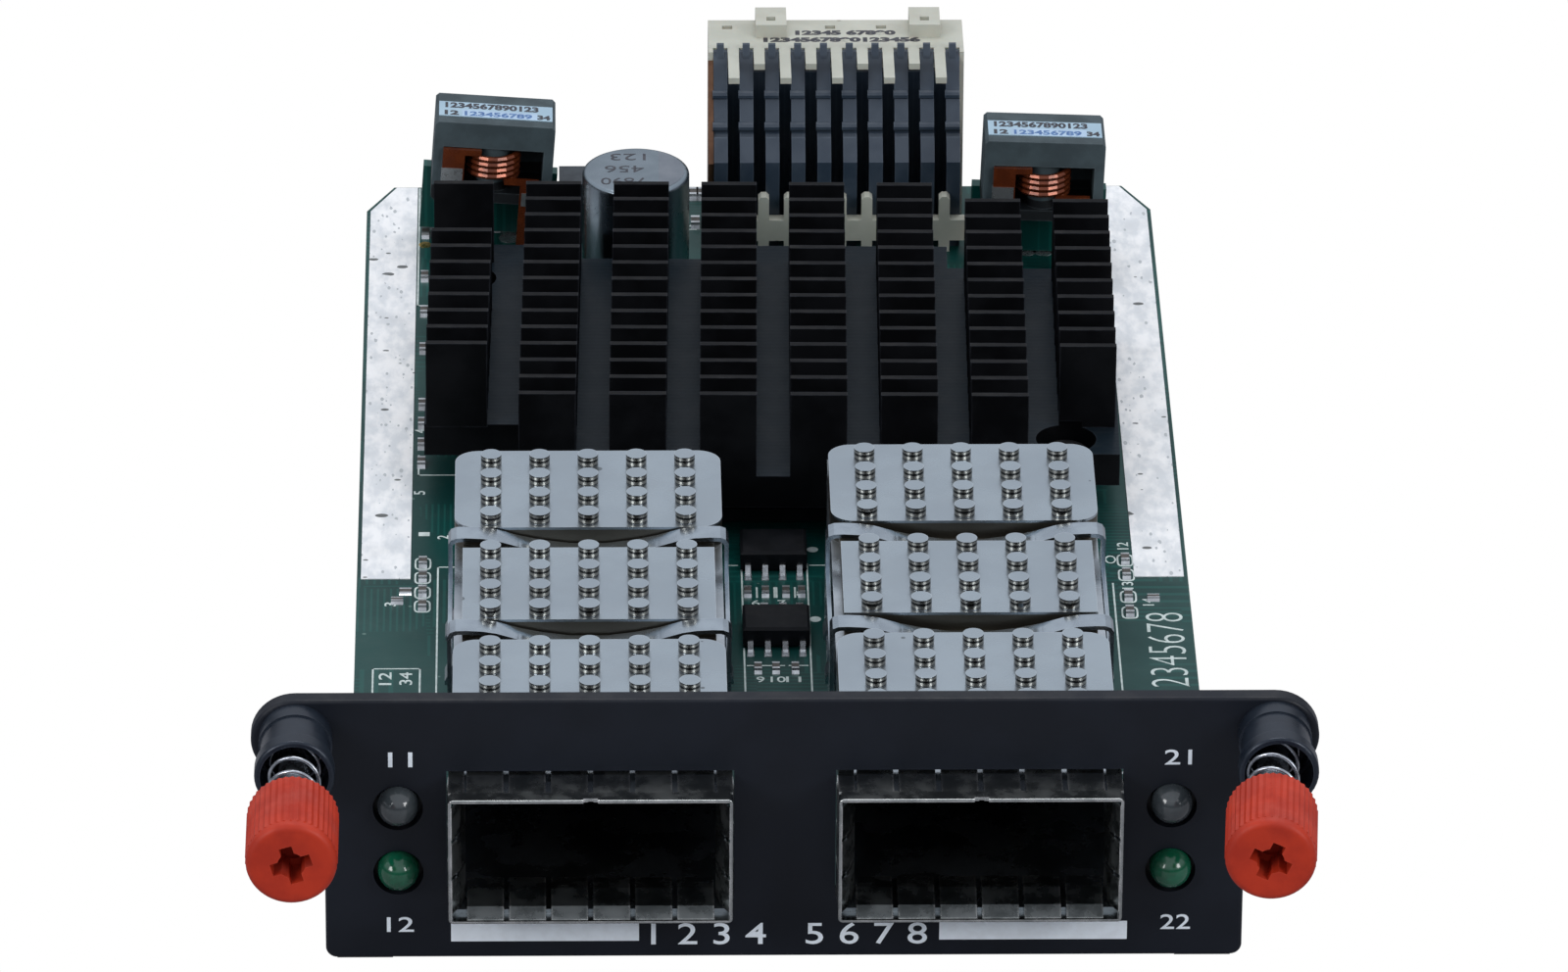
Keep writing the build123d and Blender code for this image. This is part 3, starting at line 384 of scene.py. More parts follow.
# %% [markdown]
# ## Finishes
# Every finish of the card has the same build: patches, then layers of its own, then worn edges and
# dust, then a fine bump. Some layers paint shade and reflections, and some worn edges are painted
# highlights. So one function joins the effects, and each finish only states values.

# %% Finishes
RELIEF = 0.00005
SOCKETS = {"specular": "Specular IOR Level", "coat": "Coat Weight", "coat_rough": "Coat Roughness",
           "subsurface": "Subsurface Weight"}
MATERIALS = {}


def surface(name, color, second=None, rough=(0.35, 0.5), metallic=0.0, scale=300.0, stretch=(1, 1, 1),
            worn=None, radius=0.0002, wear=0.0, dust=0.0, grain=4000.0, bump=0.05, wave=0.0, layers=(),
            lines=None, **sockets):
    """A Principled material with patches, extra layers, worn edges, dust and a fine bump.
    Some layers paint shade and reflections, and on some finishes the worn edges are painted highlights.
    """
    material = bpy.data.materials.new(name)
    material.use_nodes = True
    tree = material.node_tree
    shader = tree.nodes["Principled BSDF"]
    second = second or tuple(0.8 * c for c in color)
    values = {"Color": (*color, 1), "Second": (*second, 1), "Scale": scale, "Stretch": stretch,
              "Rough low": rough[0], "Rough high": rough[1]}
    mottle = put(tree, "ShaderNodeGroup", values, node_tree=MOTTLE)
    colour, roughness = mottle.outputs["Color"], mottle.outputs["Roughness"]
    effects = list(layers)
    if wear:
        effects.append((EDGE_WEAR_AND_HIGHLIGHT, {"Worn and highlight": (*worn, 1), "Radius": radius, "Amount": wear}))
    if dust:
        effects.append((DUST, {"Amount": dust}))
    for group, values in effects:
        effect = put(tree, "ShaderNodeGroup", {"Color": colour, **values}, node_tree=group)
        colour = effect.outputs["Color"]
        if "Roughness" in effect.inputs:
            tree.links.new(roughness, effect.inputs["Roughness"])
            roughness = effect.outputs["Roughness"]
    tree.links.new(colour, shader.inputs["Base Color"])
    tree.links.new(roughness, shader.inputs["Roughness"])
    shader.inputs["Metallic"].default_value = metallic
    if bump:
        tooth = put(tree, "ShaderNodeGroup", {"Scale": grain, "Wave": wave}, node_tree=GRAIN)
        height = tooth.outputs["Height"]
        if lines:
            direction, period, depth = lines
            values = {"Direction": direction, "Period": period, "Waver": 0.3}
            ridges = put(tree, "ShaderNodeGroup", values, node_tree=LINES)
            height = plus(tree, height, times(tree, ridges.outputs["Fac"], depth))
        relief = put(tree, "ShaderNodeBump", {"Height": height, "Strength": bump, "Distance": RELIEF})
        tree.links.new(relief.outputs["Normal"], shader.inputs["Normal"])
    for key, value in sockets.items():
        shader.inputs[SOCKETS[key]].default_value = value
    return material


def finish(name, *colours, **look):
    """Makes a finish and keeps it under the name that nodes and added pieces ask for."""
    MATERIALS[name] = surface(name, *colours, **look)


# %% [markdown]
# ## Panel and thumbscrew finishes
# The panel has a dark coat with a few pale specks, the sleeves a blue-black plating, and the
# screws and springs are bare steel. Bare metal is Metallic 1 with a bright base colour, while
# paint keeps Metallic 0 and a nearly black one. The knobs' red is matt and rubs paler on the
# knurling.

# %% Panel and thumbscrew finishes
finish("panel_paint", (0.0075, 0.0095, 0.0145), (0.009, 0.0115, 0.018), (0.36, 0.48),
       scale=150, worn=(0.03, 0.045, 0.07), radius=0.0003, wear=0.12, dust=0.03,
       grain=2600, bump=0.12, wave=0.4, specular=0.22,
       layers=[(SPECKS, {"Speck": (0.05, 0.06, 0.07, 1), "Scale": 500.0, "Share": 0.05,
                         "Size": 0.22})])
finish("ferrule", (0.012, 0.018, 0.03), (0.02, 0.028, 0.042), (0.26, 0.38), metallic=0.4,
       scale=500, worn=(0.16, 0.19, 0.24), radius=0.00015, wear=0.35, grain=6000, bump=0.04)
finish("screw_steel", (0.42, 0.44, 0.47), (0.3, 0.32, 0.35), (0.2, 0.35), metallic=1.0,
       scale=900, grain=7000, bump=0.05)
finish("screw_dark", (0.1, 0.1, 0.11), (0.06, 0.06, 0.07), (0.3, 0.45), metallic=0.9,
       scale=900, worn=(0.4, 0.42, 0.45), radius=0.0001, wear=0.5, grain=7000, bump=0.05)
finish("spring_steel", (0.5, 0.53, 0.57), (0.3, 0.32, 0.36), (0.16, 0.28), metallic=1.0,
       scale=1200, bump=0.03)
finish("pin_spring", (0.62, 0.52, 0.34), (0.5, 0.42, 0.28), (0.18, 0.3), metallic=1.0,
       scale=1200, bump=0.03)
finish("knob_red", (0.46, 0.031, 0.009), (0.37, 0.022, 0.007), (0.45, 0.6), scale=420,
       worn=(0.55, 0.09, 0.05), radius=0.00012, wear=0.35, dust=0.05, grain=5000, bump=0.16,
       specular=0.3)

# %% [markdown]
# ## Cage and sink finishes
# The cages, rims, clips and port sinks are all pale metal. One finish for all would melt them
# together where they touch, so they differ in tone, patch size and roughness. The gasket's
# near-white worn edges are painted highlights, and the port sinks get painted shade low down and
# painted bands on their pegs. The main sink is black, sawn metal: its waves come from `lines`,
# its paler edges are partly wear and partly a painted highlight, and the floor between its fins
# gets a paler, bluish painted reflection of the sky.

# %% Cage and sink finishes
finish("cage_metal", (0.55, 0.6, 0.64), (0.42, 0.46, 0.5), (0.2, 0.34), metallic=1.0,
       scale=260, worn=(0.8, 0.84, 0.88), radius=0.0001, wear=0.4, grain=3000, bump=0.06)
# The gasket's near-white worn edges, at full strength, are painted highlights on its rim.
finish("gasket", (0.26, 0.28, 0.28), (0.36, 0.38, 0.38), (0.2, 0.34), metallic=1.0, scale=500,
       worn=(1.0, 1.0, 0.98), radius=0.00028, wear=1.0, grain=3500, bump=0.05)
finish("clip_metal", (0.48, 0.55, 0.61), (0.4, 0.46, 0.52), (0.16, 0.3), metallic=1.0,
       scale=400, worn=(0.9, 0.93, 0.96), radius=0.00012, wear=0.4, grain=3000, bump=0.04)
finish("sink_nickel", (0.47, 0.54, 0.59), (0.41, 0.47, 0.52), (0.22, 0.34), metallic=1.0,
       scale=120, worn=(0.92, 0.95, 0.98), radius=0.00014, wear=0.5, dust=0.06,
       grain=5200, bump=0.09,
       # Painted shade: faces below the height, upright ones too, get a dark brown tint.
       layers=[(PAINTED_LOW_SHADE_AND_SHEEN, {"Painted tint": (0.13, 0.12, 0.10, 1), "Height": 0.0063, "Tinted rough": 0.4,
                        "Any side": 1.0}),
               (PAINTED_PEG_BANDS, {}),
               (SPECKS, {"Speck": (0.2, 0.23, 0.25, 1), "Scale": 700.0, "Share": 0.07,
                         "Size": 0.25})])
# The black sink's paler worn edges are partly wear and partly a painted highlight on the fin tops.
finish("sink_black", (0.0022, 0.0024, 0.003), (0.004, 0.0044, 0.0055), (0.38, 0.52),
       scale=220, worn=(0.05, 0.056, 0.07), radius=0.00014, wear=0.6,
       dust=0.02, grain=4200, bump=0.12, specular=0.1, lines=((0, 1, 0), 0.00055, 0.8),
       # Painted reflection: the up-facing floor between the fins is tinted paler and bluish, like reflected
       # sky.
       layers=[(PAINTED_LOW_SHADE_AND_SHEEN, {"Painted tint": (0.008, 0.014, 0.020, 1), "Height": 0.0031,
                        "Tinted rough": 0.34})])

# %% [markdown]
# ## Plastic and lens finishes
# Black mouldings are dull. A lens could be glass with a lamp behind it, but these are unlit and
# dark, so a coloured plastic under a clear coat looks the same and bakes well.

# %% Plastic and lens finishes
finish("black_plastic", (0.008, 0.008, 0.009), (0.013, 0.013, 0.014), (0.42, 0.55),
       scale=500, grain=5000, bump=0.08)
finish("lens_clear", (0.055, 0.066, 0.072), (0.04, 0.048, 0.054), (0.12, 0.2), scale=700,
       bump=0.0, coat=0.5, coat_rough=0.06)
finish("lens_green", (0.004, 0.10, 0.05), (0.003, 0.065, 0.03), (0.12, 0.2), scale=700,
       bump=0.0, coat=0.5, coat_rough=0.06)

# %% [markdown]
# ## Board, tin and chip finishes
# The board is a green mask over copper traces. The strips on its edges are tin. Their near-white
# colour is partly the tin's pale tone and partly a painted reflection of the bright sky:
# Metallic stays 0, and two layers of specks break the surface up.
# Solder and leads are true metals, and the chips are black and grainy.

# %% Board, tin and chip finishes
finish("board", (0.002, 0.054, 0.048), (0.0015, 0.036, 0.033), (0.28, 0.42), scale=60,
       worn=(0.12, 0.2, 0.15), radius=0.0002, wear=0.25, dust=0.02, grain=2600, bump=0.07,
       specular=0.3,
       layers=[(TRACES, {"Trace": (0.008, 0.10, 0.085, 1), "Amount": 0.5, "Scale": 150.0}),
               (SPECKS, {"Speck": (0.09, 0.17, 0.15, 1), "Scale": 900.0, "Share": 0.08,
                         "Size": 0.2})])
# The near-white base colour is partly tin and partly a painted reflection of the bright sky.
finish("tin", (0.98, 0.985, 0.99), (0.74, 0.77, 0.8), (0.38, 0.55), scale=900,
       stretch=(1.0, 0.45, 1.0), dust=0.12, grain=1800, bump=0.14,
       layers=[(SPECKS, {"Speck": (0.5, 0.53, 0.55, 1), "Scale": 3200.0, "Stretch": (1.0, 0.45, 0.0),
                         "Share": 0.16, "Size": 0.5}),
               (SPECKS, {"Speck": (0.12, 0.13, 0.13, 1), "Scale": 1500.0, "Stretch": (0.6, 1.0, 0.0),
                         "Share": 0.05, "Size": 0.45})])
finish("solder", (0.66, 0.69, 0.71), (0.45, 0.47, 0.49), (0.22, 0.4), metallic=0.9, scale=1200,
       grain=3000, bump=0.08)
finish("gold", (0.72, 0.5, 0.16), (0.6, 0.4, 0.12), (0.2, 0.32), metallic=1.0, scale=1200,
       bump=0.03)
finish("chip", (0.006, 0.007, 0.009), (0.009, 0.010, 0.013), (0.5, 0.62), scale=600, dust=0.02,
       grain=6000, bump=0.12, specular=0.15)
finish("lead_tin", (0.68, 0.70, 0.72), (0.5, 0.52, 0.54), (0.18, 0.3), metallic=1.0, scale=1500,
       bump=0.04)
finish("pad", (0.35, 0.37, 0.4), rough=(0.7, 0.85), scale=800, bump=0.1)

# %% [markdown]
# ## Connector, choke and can finishes
# The housing is ivory plastic that lets a little light in, which a small subsurface weight gives.
# The copper straps are lacquered, so they have a coat over the metal. The cores are dull and grey,
# and their lower part, where they meet the board, is painted darker as shade.

# %% Connector, choke and can finishes
finish("ivory", (0.50, 0.50, 0.43), (0.44, 0.44, 0.375), (0.42, 0.55), scale=300, dust=0.08,
       grain=3800, bump=0.07, subsurface=0.05,
       layers=[(SPECKS, {"Speck": (0.3, 0.28, 0.22, 1), "Scale": 800.0, "Share": 0.05,
                         "Size": 0.2})])
finish("wafer", (0.023, 0.036, 0.056), (0.035, 0.05, 0.072), (0.3, 0.42), scale=350,
       worn=(0.12, 0.15, 0.19), radius=0.00015, wear=0.5, grain=4000, bump=0.05)
finish("blade", (0.16, 0.085, 0.05), (0.1, 0.05, 0.03), (0.3, 0.45), metallic=0.8, scale=900,
       bump=0.04)
finish("copper", (0.2, 0.045, 0.014), (0.13, 0.028, 0.009), (0.2, 0.34), metallic=0.55, scale=900,
       bump=0.04, coat=0.3, coat_rough=0.15)
finish("ferrite", (0.055, 0.078, 0.088), (0.04, 0.057, 0.065), (0.45, 0.6), scale=500,
       worn=(0.14, 0.17, 0.19), radius=0.0002, wear=0.4, grain=3800, bump=0.16, specular=0.3,
       # Painted shade: below a height the cores are tinted near black on every side.
       layers=[(PAINTED_LOW_SHADE_AND_SHEEN, {"Painted tint": (0.006, 0.008, 0.010, 1), "Height": 0.0018, "Tinted rough": 0.6,
                        "Any side": 1.0})])
finish("label", (0.36, 0.50, 0.60), (0.32, 0.45, 0.55), (0.4, 0.5), scale=400, bump=0.03)
finish("can", (0.29, 0.345, 0.39), (0.24, 0.29, 0.33), (0.2, 0.32), metallic=1.0, scale=300,
       worn=(0.7, 0.75, 0.8), radius=0.0001, wear=0.4, grain=2800, bump=0.05)
finish("ceramic", (0.085, 0.075, 0.065), (0.055, 0.05, 0.045), (0.4, 0.55), scale=900, bump=0.08)
finish("ceramic_slate", (0.028, 0.039, 0.05), (0.022, 0.03, 0.04), (0.4, 0.55), scale=900,
       worn=(0.1, 0.12, 0.14), radius=0.00012, wear=0.4, bump=0.08)

# %% [markdown]
# ## Which node wears what
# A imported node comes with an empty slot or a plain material. Its mesh stays as it is, and only the
# material in its slot changes. One table keeps finish and nodes together.

# %% Which node wears what
NODE_MATERIALS = {
    "panel_paint": ["front_panel"],
    "ferrule": ["screw_ferrules"],
    "screw_steel": ["left_screw", "right_screw", "standoffs", "board_screws"],
    "screw_dark": ["left_washer", "right_washer"],
    "spring_steel": ["left_spring", "right_spring"],
    "pin_spring": ["pin_springs"],
    "knob_red": ["left_knob", "right_knob"],
    "cage_metal": ["left_cage", "right_cage"],
    "gasket": ["left_gasket", "right_gasket"],
    "clip_metal": ["left_clip", "right_clip"],
    "sink_nickel": ["left_port_sink", "right_port_sink"],
    "sink_black": ["main_heatsink"],
    "black_plastic": ["left_port_connector", "right_port_connector", "lamp_housings", "push_pins",
                      "capacitor_base"],
    "lens_clear": ["link_lenses"],
    "lens_green": ["activity_lenses"],
    "board": ["circuit_board", "choke_boards"],
    "tin": ["ground_strips"],
    "solder": ["connector_tails"],
    "chip": ["switch_chip", "small_chips"],
    "lead_tin": ["small_chip_leads"],
    "pad": ["thermal_pad"],
    "ivory": ["connector_housing", "connector_organizer"],
    "wafer": ["connector_wafers"],
    "blade": ["ground_blade"],
    "copper": ["choke_coils"],
    "ferrite": ["choke_cores"],
    "label": ["choke_labels"],
    "can": ["capacitor_can"],
    "ceramic": ["passives"],
    "ceramic_slate": ["ceramic_block"],
}
for key, members in NODE_MATERIALS.items():
    for node in members:
        slots = nodes[node].material_slots
        if not slots:
            nodes[node].data.materials.append(MATERIALS[key])
        for slot in slots:
            slot.material = MATERIALS[key]
print(len(MATERIALS), "finishes on", sum(map(len, NODE_MATERIALS.values())), "nodes")

# %% [markdown]
# ## Straight-sided pieces
# Print, pads and fillets are small boxes and swept outlines. They could be modelled by hand, but
# an array works out all corners of all boxes at once. Each helper gives points and faces, and
# `mesh_piece()` makes one object of them, with its place in its mesh. Faces run counter-clockwise
# seen from outside, so that they point outwards.

# %% Straight-sided pieces
BOX_RING = ((0, 2), (1, 2), (1, 3), (0, 3))
BOX_CORNERS = np.array([(x, y, z) for z in (4, 5) for x, y in BOX_RING])
BOX_FACES = np.array([(0, 3, 2, 1), (4, 5, 6, 7), (0, 1, 5, 4), (1, 2, 6, 5), (2, 3, 7, 6), (3, 0, 4, 7)])


def mesh_piece(name, points, faces, material, slot="label_white", body="chassis", smooth=False):
    """A new piece from points in the card's frame, in metres, and its faces."""
    mesh = bpy.data.meshes.new(name)
    mesh.from_pydata(np.asarray(points).tolist(), [], faces)
    mesh.materials.append(material)
    if smooth:
        mesh.polygons.foreach_set("use_smooth", [True] * len(mesh.polygons))
    mesh.update()
    piece = bpy.data.objects.new(name, mesh)
    bpy.context.scene.collection.objects.link(piece)
    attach(piece, body)
    print(name, len(mesh.polygons), "faces")
    return piece


def box_points(sizes):
    """Corners of boxes (x0, x1, y0, y1, z0, z1): each corner picks one x, one y and one z."""
    return np.asarray(sizes, float)[:, BOX_CORNERS].reshape(-1, 3)


def box_faces(count):
    """The six faces of each box, whose corners count on by eight."""
    return (BOX_FACES + 8 * np.arange(count)[:, None, None]).reshape(-1, 4).tolist()


def boxes(sizes):
    """Boxes, each given as (x0, x1, y0, y1, z0, z1) in drawing millimetres."""
    return to_card(box_points(sizes)), box_faces(len(sizes))


def strips(ends, width):
    """Printed lines ((x0, y0), (x1, y1)) along X or Y: each is the box of its two ends, grown by W / 2."""
    ends = np.asarray(ends, float)
    low, high = ends.min(axis=1) - width / 2, ends.max(axis=1) + width / 2
    level = np.tile((0.0, PRINT_T), (len(ends), 1))
    return boxes(np.column_stack([low[:, 0], high[:, 0], low[:, 1], high[:, 1], level]))


def quads(rings, steps, close_rings=False):
    """Faces between neighbours of a grid of points, ring by ring; every ring closes on itself."""
    k, i = np.meshgrid(np.arange(rings if close_rings else rings - 1), np.arange(steps), indexing="ij")
    here, there, ahead = k * steps, (k + 1) % rings * steps, (i + 1) % steps
    return np.stack([here + i, here + ahead, there + ahead, there + i], axis=-1).reshape(-1, 4).tolist()


def slab(outline, low, high):
    """A flat outline, counter-clockwise, raised from low to high along the third axis."""
    outline = np.asarray(outline, float)
    count = len(outline)
    points = np.concatenate([np.column_stack([outline, np.full(count, level)]) for level in (low, high)])
    return points, [list(range(count))[::-1], list(range(count, 2 * count))] + quads(2, count)


def prism(profile, x0, x1):
    """A (y, z) outline, counter-clockwise from +X, swept from x0 to x1 in drawing millimetres."""
    points, faces = slab(profile, x0, x1)
    return to_card(points[:, [2, 0, 1]]), faces


def joined(*parts):
    """Several (points, faces) pairs as one."""
    faces, base = [], 0
    for points, those in parts:
        faces += [[base + corner for corner in face] for face in those]
        base += len(points)
    return np.concatenate([points for points, those in parts]), faces


# %% [markdown]
# ## Round pieces
# Rings, dots and solder beads repeat by the dozen. A particle system could scatter them, but their
# places are known, so one small shape is worked out on a grid of two parameters and then set down
# at every place at once.

# %% Round pieces
def around(steps):
    """Even angles round a circle."""
    return np.arange(steps) * 2 * np.pi / steps


def copies(points, faces, places):
    """One small shape, in drawing millimetres, set down at every (x, y) place."""
    points, places = np.asarray(points, float), np.asarray(places, float)
    shifts = np.column_stack([places, np.zeros(len(places))])
    everywhere = (points[None] + shifts[:, None]).reshape(-1, 3)
    return to_card(everywhere), [[n * len(points) + corner for corner in face]
                                 for n in range(len(places)) for face in faces]


def loops(places, half, width, power=4.0, steps=24):
    """Printed outlines: x = a |cos t|^(2/p) sign(cos t), y = b |sin t|^(2/p) sign(sin t), W wide."""
    t = around(steps)
    wave = np.stack([np.sign(f(t)) * np.abs(f(t)) ** (2 / power) for f in (np.cos, np.sin)], axis=-1)
    outer, inner = np.array(half) * wave, (np.array(half) - width) * wave
    section = ((outer, 0.0), (outer, PRINT_T), (inner, PRINT_T), (inner, 0.0))
    rings = [np.column_stack([ring, np.full(steps, z)]) for ring, z in section]
    return copies(np.concatenate(rings), quads(4, steps, close_rings=True), places)


def discs(places, radius, z0, z1, steps=12):
    """Round studs from z0 to z1: x = r cos t, y = r sin t."""
    t = around(steps)
    return copies(*slab(np.column_stack([radius * np.cos(t), radius * np.sin(t)]), z0, z1), places)


def hanging_beads(places, radius, height, z, rings=4, steps=12):
    """Solder beads under height z: r = R cos s at z - H sin s, for s from 0 to 90 degrees."""
    s = 0.5 * np.pi * np.arange(rings)[:, None] / rings
    t = around(steps)
    r = radius * np.cos(s)
    level = np.broadcast_to(z - height * np.sin(s), (rings, steps))
    points = np.stack([r * np.cos(t), r * np.sin(t), level], axis=-1).reshape(-1, 3)
    last, tip = (rings - 1) * steps, rings * steps
    faces = [list(range(steps))[::-1]] + quads(rings, steps)
    faces += [[last + i, last + (i + 1) % steps, tip] for i in range(steps)]
    return copies(np.vstack([points, (0, 0, z - height)]), [face[::-1] for face in faces], places)


# %% [markdown]
# ## Numerals
# Printed numerals come from Blender's own font as a curve, which is made a mesh before it is
# placed. A picture of them would blur close up. Each row is squeezed to the width that the print
# has in the photograph, and all rows of one ink become one piece.

# %% Numerals
CAP_HEIGHT = 0.72


def flat(x, y, z, turned=0.0):
    """A place for print that lies on height z and faces up."""
    return Matrix.Translation(at(x, y, z)) @ Matrix.Rotation(math.radians(turned), 4, "Z")


def upright(x, y, z):
    """A place for print that stands on the panel and faces the front."""
    return Matrix.Translation(at(x, y, z)) @ Matrix.Rotation(math.radians(90), 4, "X")


def numerals(name, rows, ink, slot="label_white", bold=0.01):
    """Printed numerals. A row is (text, place, height, width); the foot is at the place, centred."""
    parts = []
    for text, place, height, width in rows:
        curve = bpy.data.curves.new(name, "FONT")
        curve.body = text
        curve.size = height / CAP_HEIGHT / 1000
        curve.align_x = "CENTER"
        curve.extrude = 0.5 * PRINT_T / 1000
        curve.offset = bold / 1000
        curve.resolution_u = 4
        piece = bpy.data.objects.new(name, curve)
        bpy.context.scene.collection.objects.link(piece)
        bpy.context.view_layer.update()
        mesh = bpy.data.meshes.new_from_object(piece.evaluated_get(bpy.context.evaluated_depsgraph_get()))
        bpy.data.objects.remove(piece)
        flat_list = np.empty(3 * len(mesh.vertices), np.float32)
        mesh.vertices.foreach_get("co", flat_list)
        x, y, z = flat_list.reshape(-1, 3).astype(float).T
        squeeze = width / 1000 / np.ptp(x)
        points = np.column_stack([(x - (x.max() + x.min()) / 2) * squeeze, y, z + 0.5 * PRINT_T / 1000])
        turn = np.array(place)
        parts.append((points @ turn[:3, :3].T + turn[:3, 3], [list(face.vertices) for face in mesh.polygons]))
    return mesh_piece(name, *joined(*parts), ink, slot)


# %% [markdown]
# ## Panel marks
# The panel has two printed bars under the ports, numerals between them and one pair beside each
# lamp. Ink could be painted into the panel's material, but its edge would be only as sharp as a
# texture. A thin solid keeps a sharp edge and an ink of its own.

# %% Panel marks
INK = surface("panel_ink", (0.86, 0.93, 1.0), (0.8, 0.86, 0.92), (0.45, 0.55), scale=900, bump=0.02)
SILK = surface("silk_ink", (0.66, 0.74, 0.72), (0.5, 0.58, 0.56), (0.5, 0.6), scale=1500, bump=0.02)
LAMP_ROWS = (10.35, -2.86)
mesh_piece("panel_bars", *boxes([(x, x + 13.2, -PRINT_T, 0.0, -3.66, -2.2) for x in (-23.4, 10.9)]), INK)
numerals("port_numerals", [("1 2 3 4   5 6 7 8", upright(0.35, 0.0, -3.95), 1.75, 19.4)], INK)
numerals("lamp_numerals", [("11", upright(-26.85, 0.0, LAMP_ROWS[0]), 1.22, 1.7),
                           ("21", upright(27.43, 0.0, LAMP_ROWS[0]), 1.22, 1.9),
                           ("12", upright(-26.95, 0.0, LAMP_ROWS[1]), 1.22, 1.9),
                           ("22", upright(27.48, 0.0, LAMP_ROWS[1]), 1.22, 2.1)], INK)

# %% [markdown]
# ## Board print
# The board's top has pale outlines round the small parts, a few straight lines and plain counting
# numbers. All of it is one thin layer of ink, so lines are boxes and outlines are rings of
# the same thickness.

# %% Board print
LEFT_ROW, RIGHT_ROW = (49.6, 47.4, 45.1, 42.95), (49.8, 47.5, 44.1, 41.65)
LEFT_X, RIGHT_X = -25.75, 26.08
MIDDLE_A, MIDDLE_B = (-1.87, -0.57, 0.94, 2.09), (-0.69, 0.67, 1.89)
ends = [((-24.64, 24.0), (-24.64, 49.08)), ((-24.64, 49.08), (-22.0, 49.08)),
        ((-29.25, 26.0), (-29.25, 33.4)), ((-25.84, 26.0), (-25.84, 33.4)), ((-29.25, 33.4), (-25.84, 33.4)),
        ((-29.25, 26.0), (-25.84, 26.0)), ((-26.5, 91.9), (-26.5, 112.2)), ((-26.5, 91.9), (-25.8, 91.9)),
        ((-26.2, 63.75), (-26.2, 66.9)), ((-26.2, 63.75), (-23.0, 63.75)),
        ((-2.27, 41.2), (-2.27, 49.2)), ((-2.27, 22.0), (-2.27, 36.3)), ((2.56, 22.0), (2.56, 49.4)),
        ((-3.4, 49.2), (-2.6, 49.2)), ((2.8, 49.2), (4.1, 49.2)), ((25.03, 24.0), (25.03, 46.2)),
        ((-2.05, 33.7), (0.6, 33.7)), ((1.0, 33.7), (2.3, 33.7)), ((26.9, 92.5), (26.9, 99.0))]
marks = [strips(ends, 0.13), strips([((x, 44.2), (x, 45.7)) for x in (-1.2, 0.1, 0.25, 1.6)], 0.14),
         strips([((x, 41.7), (x, 42.8)) for x in (-1.35, 0.0, 0.15, 1.3, 1.45)], 0.13),
         loops([(LEFT_X, y) for y in LEFT_ROW], (0.62, 0.93), 0.13),
         loops([(RIGHT_X, y) for y in RIGHT_ROW], (0.62, 0.93), 0.13),
         loops([(25.0, 49.95), (-0.9, 15.5), (0.9, 12.0)], (0.42, 0.6), 0.12, power=2.0)]
mesh_piece("board_lines", *joined(*marks), SILK)
mesh_piece("board_dots", *discs([(3.02, 51.67), (3.02, 40.8)], 0.42, 0.0, PRINT_T, 16), SILK)
small = [("12", flat(-27.9, 31.9, 0.0, 90), 0.95, 1.9), ("34", flat(-26.4, 31.9, 0.0, 90), 0.95, 1.9)]
places = [(-25.3, 54.3, 90), (-23.9, 53.8, 90), (-27.7, 43.3, 90), (-25.7, 70.9, 90), (-25.7, 60.9, 90),
          (-1.3, 42.95, 0), (0.6, 42.95, 0), (2.0, 44.4, 0), (-1.15, 31.2, 0), (0.13, 31.2, 0),
          (1.25, 31.2, 0), (26.4, 52.1, 90), (26.5, 45.9, 90), (27.9, 43.3, 90), (-4.9, 105.4, 90),
          (24.2, 108.6, 0)]
small += [(str(n), flat(x, y, 0.0, turned), 0.85, 0.6 if n < 10 else 1.1)
          for n, (x, y, turned) in enumerate(places, 1)]
numerals("board_numerals", small, SILK)
numerals("board_number", [("12345678", flat(29.95, 35.4, 0.0, 90), 2.95, 12.4)], SILK, bold=-0.07)

# %% [markdown]
# ## Small parts
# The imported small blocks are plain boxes. The real ones have a dark ceramic body between two tinned
# ends, and the solder falls from each end to the board as a fillet. A bevel could round a box, but
# not that way, so each end is a five-sided outline swept across the part.

# %% Small parts
END_SHARE, SEAM, FILLET, LIP = 0.26, 0.02, 0.16, 0.05
lo, hi = (np.array(corner) * 1000 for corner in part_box("small_chips"))
CHIP_ROWS = (hi[1] + PANEL_T - 1.95, lo[1] + PANEL_T + 1.95)
rows = [(x, y, 0.62, 1.15, 0.4) for x, ys in ((LEFT_X, LEFT_ROW), (RIGHT_X, RIGHT_ROW)) for y in ys]
rows += [(x, CHIP_ROWS[0] - 5.35, 0.55, 1.1, 0.4) for x in MIDDLE_A]
rows += [(x, CHIP_ROWS[0] - 8.0, 0.55, 1.05, 0.4) for x in MIDDLE_B]
rows += [(x, CHIP_ROWS[1] - 5.3, 0.55, 1.1, 0.4) for x in (-1.3, 0.0, 1.4)]
rows += [(-26.0, y, 0.6, 1.15, 0.45) for y in (65.5, 68.5, 71.9, 75.0, 84.3, 90.6, 96.6, 104.1)]
rear = ((-20.6, 107.3), (-20.55, 105.3), (-25.4, 107.9), (-25.4, 106.0), (20.6, 103.3), (21.2, 103.4),
        (22.4, 104.7), (22.5, 103.0), (-5.05, 110.8), (-4.5, 110.8), (-5.0, 105.8), (18.4, 104.0),
        (-18.6, 106.6))
rows += [(x, y, 0.7, 1.35, 0.5) for x, y in rear]
rows += [(-27.6, 43.7, 0.9, 0.6, 0.3), (27.9, 43.8, 0.9, 0.6, 0.3), (-27.0, 45.3, 0.9, 0.9, 0.12)]
bodies, caps = [], []
